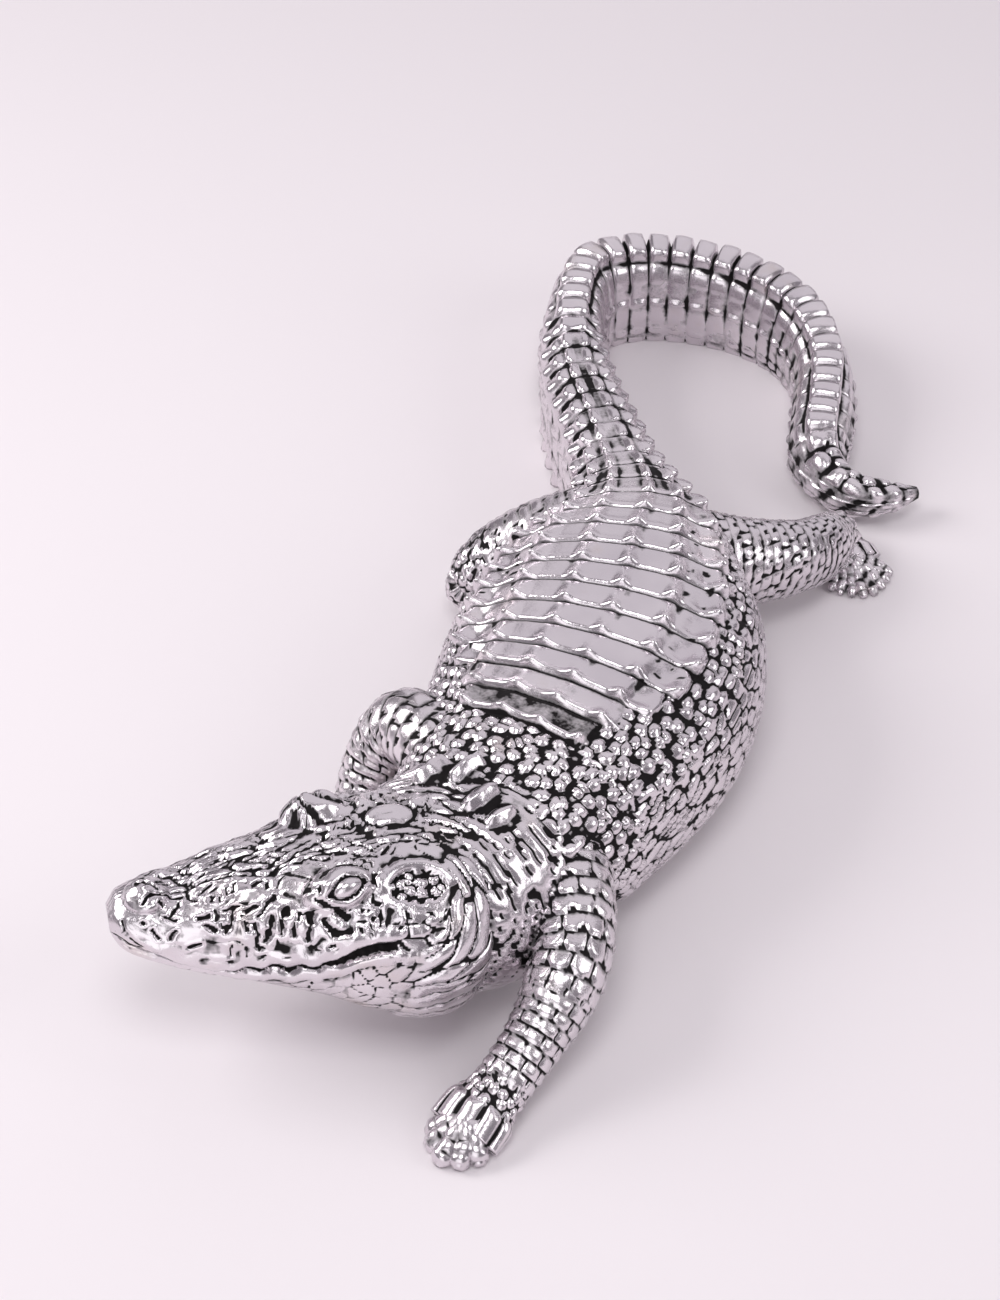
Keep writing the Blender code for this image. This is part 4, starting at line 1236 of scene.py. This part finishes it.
# %% [markdown]
# ## Three pieces of one casting
# The real figure is one piece. A boolean union would make it one mesh, but would spoil the even rows of the
# carving, and one mesh this fine would be too heavy. So the body with the tail, the head, and the legs with
# their toes are three closed skins that sink into each other. Everything that lies under the floor is
# pressed flat onto it, as feet and belly of the casting are ground flat.

# %% Press flat and keep inside the box
legs = join(parts)
legs.name = "crocodile_legs"
head_skin = tube("crocodile_head", head_points, head_patina)
skins = (skin, head_skin, legs)
MARGIN = 0.00002


def read_points(piece):
    """The places of a piece's points."""
    values = np.empty(len(piece.data.vertices) * 3)
    piece.data.vertices.foreach_get("co", values)
    return values.reshape(-1, 3)


for piece in skins:
    where = np.clip(read_points(piece), np.array(cad_low) + (MARGIN, MARGIN, 0), np.array(cad_high) - MARGIN)
    piece.data.vertices.foreach_set("co", where.reshape(-1))
    piece.data.update()
    print(piece.name, "triangles:", sum(len(face.vertices) - 2 for face in piece.data.polygons))

# %% [markdown]
# ## Patina in the folds
# Patina also gathers in the fold where a leg or the head grows out of the body. An ambient occlusion node
# would show it in the render, but not in an export. So a k-d tree of each skin's points is made, and points
# of the other skins that lie within a millimetre or so of one of them get darker. Every second point is
# enough.

# %% Find the folds with trees
REACH, EVERY = 0.002, 2
trees = {}
for piece in skins:
    places = read_points(piece)
    tree = KDTree(len(places) // EVERY + 1)
    for i in range(0, len(places), EVERY):
        tree.insert(places[i], i)
    tree.balance()
    trees[piece.name] = tree
print("trees:", ", ".join(trees))

# %% [markdown]
# Asking the tree for every point would take long. Most points are far from the other skin, so only those
# inside its box, made a little larger, are asked for.

# %% Darken the folds
for piece in skins:
    places = read_points(piece)
    values = piece.data.attributes["hollow"].data
    hollow = np.empty(len(places), np.float32)
    values.foreach_get("value", hollow)
    for other in skins:
        if other is piece:
            continue
        lowest, highest = read_points(other).min(axis=0) - REACH, read_points(other).max(axis=0) + REACH
        close = np.nonzero(((places > lowest) & (places < highest)).all(axis=1))[0]
        gaps = np.array([trees[other.name].find(places[i])[2] for i in close]) / MM
        hollow[close] += 0.35 * (1 - blend(gaps, 0.5, 1.5))
    values.foreach_set("value", np.clip(hollow, 0, 1).astype(np.float32))
    print(piece.name, "share in hollows:", round(float((hollow > 0.6).mean()), 2))

# %% [markdown]
# ## Shader expressions
# A finish is a tree of nodes, and trees drawn by hand get hard to read. This small wrapper round a socket
# lets the maths be written as Python: adding two values adds a Math node. One method adds any other node.

# %% A socket that can be added and multiplied
class Value:
    """A shader socket with Python's arithmetic."""

    def __init__(self, tree, socket):
        self.tree, self.socket = tree, socket

    def node(self, kind, settings=None, **inputs):
        """Add a node of this kind, set its settings, then its inputs, and return the node."""
        made = self.tree.nodes.new(kind)
        for key, value in (settings or {}).items():
            setattr(made, key, value)
        for key, value in inputs.items():
            target = made.inputs[key.replace("_", " ")]
            if isinstance(value, Value):
                self.tree.links.new(value.socket, target)
            else:
                target.default_value = value
        return made

    def math(self, operation, other):
        """A Math node of this value and another one or a number."""
        made = self.tree.nodes.new("ShaderNodeMath")
        made.operation = operation
        for place, value in enumerate((self, other)):
            if isinstance(value, Value):
                self.tree.links.new(value.socket, made.inputs[place])
            else:
                made.inputs[place].default_value = value
        return Value(self.tree, made.outputs[0])

    def constant(self, number):
        """A number as a socket, for the left side of a minus or a division."""
        made = self.tree.nodes.new("ShaderNodeValue")
        made.outputs[0].default_value = number
        return Value(self.tree, made.outputs[0])

    def __add__(self, other):
        return self.math("ADD", other)

    def __sub__(self, other):
        return self.math("SUBTRACT", other)

    def __mul__(self, other):
        return self.math("MULTIPLY", other)

    def __truediv__(self, other):
        return self.math("DIVIDE", other)

    def __rsub__(self, other):
        return self.constant(other) - self

    def __rtruediv__(self, other):
        return self.constant(other) / self

    __radd__ = __add__
    __rmul__ = __mul__

    def between(self, low, high):
        """0 below low and 1 above high."""
        return ((self - low) / (high - low)).math("MINIMUM", 1.0).math("MAXIMUM", 0.0)

    def mix(self, dark, light):
        """A colour from dark to light by this value."""
        made = self.tree.nodes.new("ShaderNodeMix")
        made.data_type = "RGBA"
        self.tree.links.new(self.socket, made.inputs["Factor"])
        for name, colour in (("A", dark), ("B", light)):
            target = next(s for s in made.inputs if s.name == name and s.type == "RGBA")
            if isinstance(colour, Value):
                self.tree.links.new(colour.socket, target)
            else:
                target.default_value = colour
        return Value(self.tree, next(s for s in made.outputs if s.type == "RGBA"))


print("a value can be added, multiplied, limited and mixed")

# %% [markdown]
# Every finish starts the same way: a new material with nodes switched on, which comes with the Principled
# shader already linked to its output.

# %% A new material
def new_material(name):
    """A material with its shader, and a Value to start expressions from."""
    material = bpy.data.materials.new(name)
    material.use_nodes = True
    tree = material.node_tree
    return material, tree.nodes["Principled BSDF"], Value(tree, None)


print("nodes in a new material:", len(new_material("sample")[0].node_tree.nodes))
bpy.data.materials.remove(bpy.data.materials["sample"])

# %% [markdown]
# ## Antique silver
# Polished plating is a bright metal with small roughness. In the hollows the patina is a dull near-black
# coat, so metallic falls and roughness rises there. Two materials on different faces would give it jagged
# edges, so it is one material that reads the stored hollows point by point. Slight warm and violet clouds
# and a fine grain keep it from looking like chrome.

# %% The plated finish
GREY_SILVER, BRIGHT_SILVER = (0.69, 0.645, 0.685, 1), (0.83, 0.78, 0.815, 1)
WARM, BLACK = (0.66, 0.57, 0.52, 1), (0.012, 0.010, 0.011, 1)
BLACK_FROM, BLACK_TO = 0.55, 0.76

silver, shader, start = new_material("plated_silver")
place = Value(silver.node_tree, start.node("ShaderNodeTexCoord").outputs["Object"])
hollow_node = start.node("ShaderNodeAttribute", {"attribute_name": "hollow"})
depth = Value(silver.node_tree, hollow_node.outputs["Fac"])


def noise(scale, detail=3.0):
    """Noise from 0 to 1 on the object's own coordinates."""
    settings = {"noise_dimensions": "3D"}
    made = start.node("ShaderNodeTexNoise", settings, Vector=place, Scale=scale, Detail=detail)
    return Value(silver.node_tree, made.outputs["Fac"])


grain, cloud = noise(900.0), noise(28.0)
patina = (depth + 0.2 * (grain - 0.5)).between(BLACK_FROM, BLACK_TO)
tone = cloud.between(0.35, 0.65).mix(GREY_SILVER, BRIGHT_SILVER)
warm = noise(60.0).between(0.62, 0.8) * 0.5
tone = warm.mix(tone, WARM)
silver.node_tree.links.new(patina.mix(tone, BLACK).socket, shader.inputs["Base Color"])
silver.node_tree.links.new((1 - patina * 0.92).socket, shader.inputs["Metallic"])
shader.inputs["Specular IOR Level"].default_value = 0.1
rough = 0.22 + 0.08 * cloud + 0.35 * patina
silver.node_tree.links.new(rough.socket, shader.inputs["Roughness"])
bump = start.node(
    "ShaderNodeBump", Strength=0.25, Distance=0.0004, Height=noise(420.0, 4.0) + 0.5 * noise(1500.0)
)
silver.node_tree.links.new(bump.outputs["Normal"], shader.inputs["Normal"])
print("nodes in the finish:", len(silver.node_tree.nodes))

# %% [markdown]
# Smooth shading rounds the small faces. Each skin is then given the plated finish, rides the one body of the
# part, and stands in place of the imported node, which is hidden.

# %% Plate the skins
for piece in skins:
    piece.data.materials.clear()
    piece.data.materials.append(silver)
    bpy.ops.object.select_all(action="DESELECT")
    piece.select_set(True)
    bpy.context.view_layer.objects.active = piece
    bpy.ops.object.shade_smooth()
    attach(piece, "root")
    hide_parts("crocodile")
print("plated:", [piece.name for piece in skins])

# %% [markdown]
# ## A pale floor
# The figure stands on a pale, slightly pink ground. It is only there to take the shadow, so it is one matt
# plane, large enough to fill the picture.

# %% Floor
FLOOR_SIZE = 4.0
bpy.ops.object.select_all(action="DESELECT")
bpy.ops.mesh.primitive_plane_add(size=FLOOR_SIZE)
floor = bpy.context.object
floor.name = "floor"
bpy.ops.object.mode_set(mode="EDIT")
bpy.ops.mesh.select_all(action="SELECT")
bpy.ops.mesh.subdivide(number_cuts=3)
bpy.ops.object.mode_set(mode="OBJECT")
ground_paint, ground_shader, _ = new_material("pale_floor")
ground_shader.inputs["Base Color"].default_value = (0.84, 0.79, 0.82, 1)
ground_shader.inputs["Roughness"].default_value = 0.8
floor.data.materials.append(ground_paint)
print("floor:", tuple(round(v, 2) for v in floor.dimensions))

# %% [markdown]
# ## Studio light
# Metal looks like what it reflects. A picture of a room round it would do, but panels of light are simpler
# to aim. The key on the left casts the soft shadow. The small one on top and the one in front whiten lips
# and beads. The large one at the back is what the flat plates mirror. The one at the side keeps the shadow
# side readable, and a soft room fills the rest.

# %% Lights, as place, size in metres, power and colour
def panel(name, place, size, power, colour=(1, 1, 1)):
    """A square light panel that faces the figure."""
    light = bpy.data.lights.new(name, "AREA")
    light.shape, light.size, light.energy, light.color = "SQUARE", size, power, colour
    thing = bpy.data.objects.new(name, light)
    thing.location = place
    thing.rotation_euler = (Vector((0, 0.03, 0.02)) - Vector(place)).to_track_quat("-Z", "Y").to_euler()
    bpy.context.scene.collection.objects.link(thing)


panel("key", (-0.9, -0.1, 0.7), 0.6, 6.8, (1.0, 0.985, 0.98))
panel("top", (0.05, -0.4, 1.05), 0.45, 3.2)
panel("back", (0.1, 1.1, 1.0), 2.3, 8.6, (1.0, 0.97, 1.0))
panel("front", (0.0, -1.3, 0.5), 1.1, 4.6)
panel("side", (0.95, 0.0, 0.6), 0.6, 2.6)
world = bpy.data.worlds.new("room")
bpy.context.scene.world = world
world.use_nodes = True
world.node_tree.nodes["Background"].inputs["Color"].default_value = (0.95, 0.87, 0.96, 1)
world.node_tree.nodes["Background"].inputs["Strength"].default_value = 0.24
bpy.context.scene.view_settings.view_transform = "Standard"
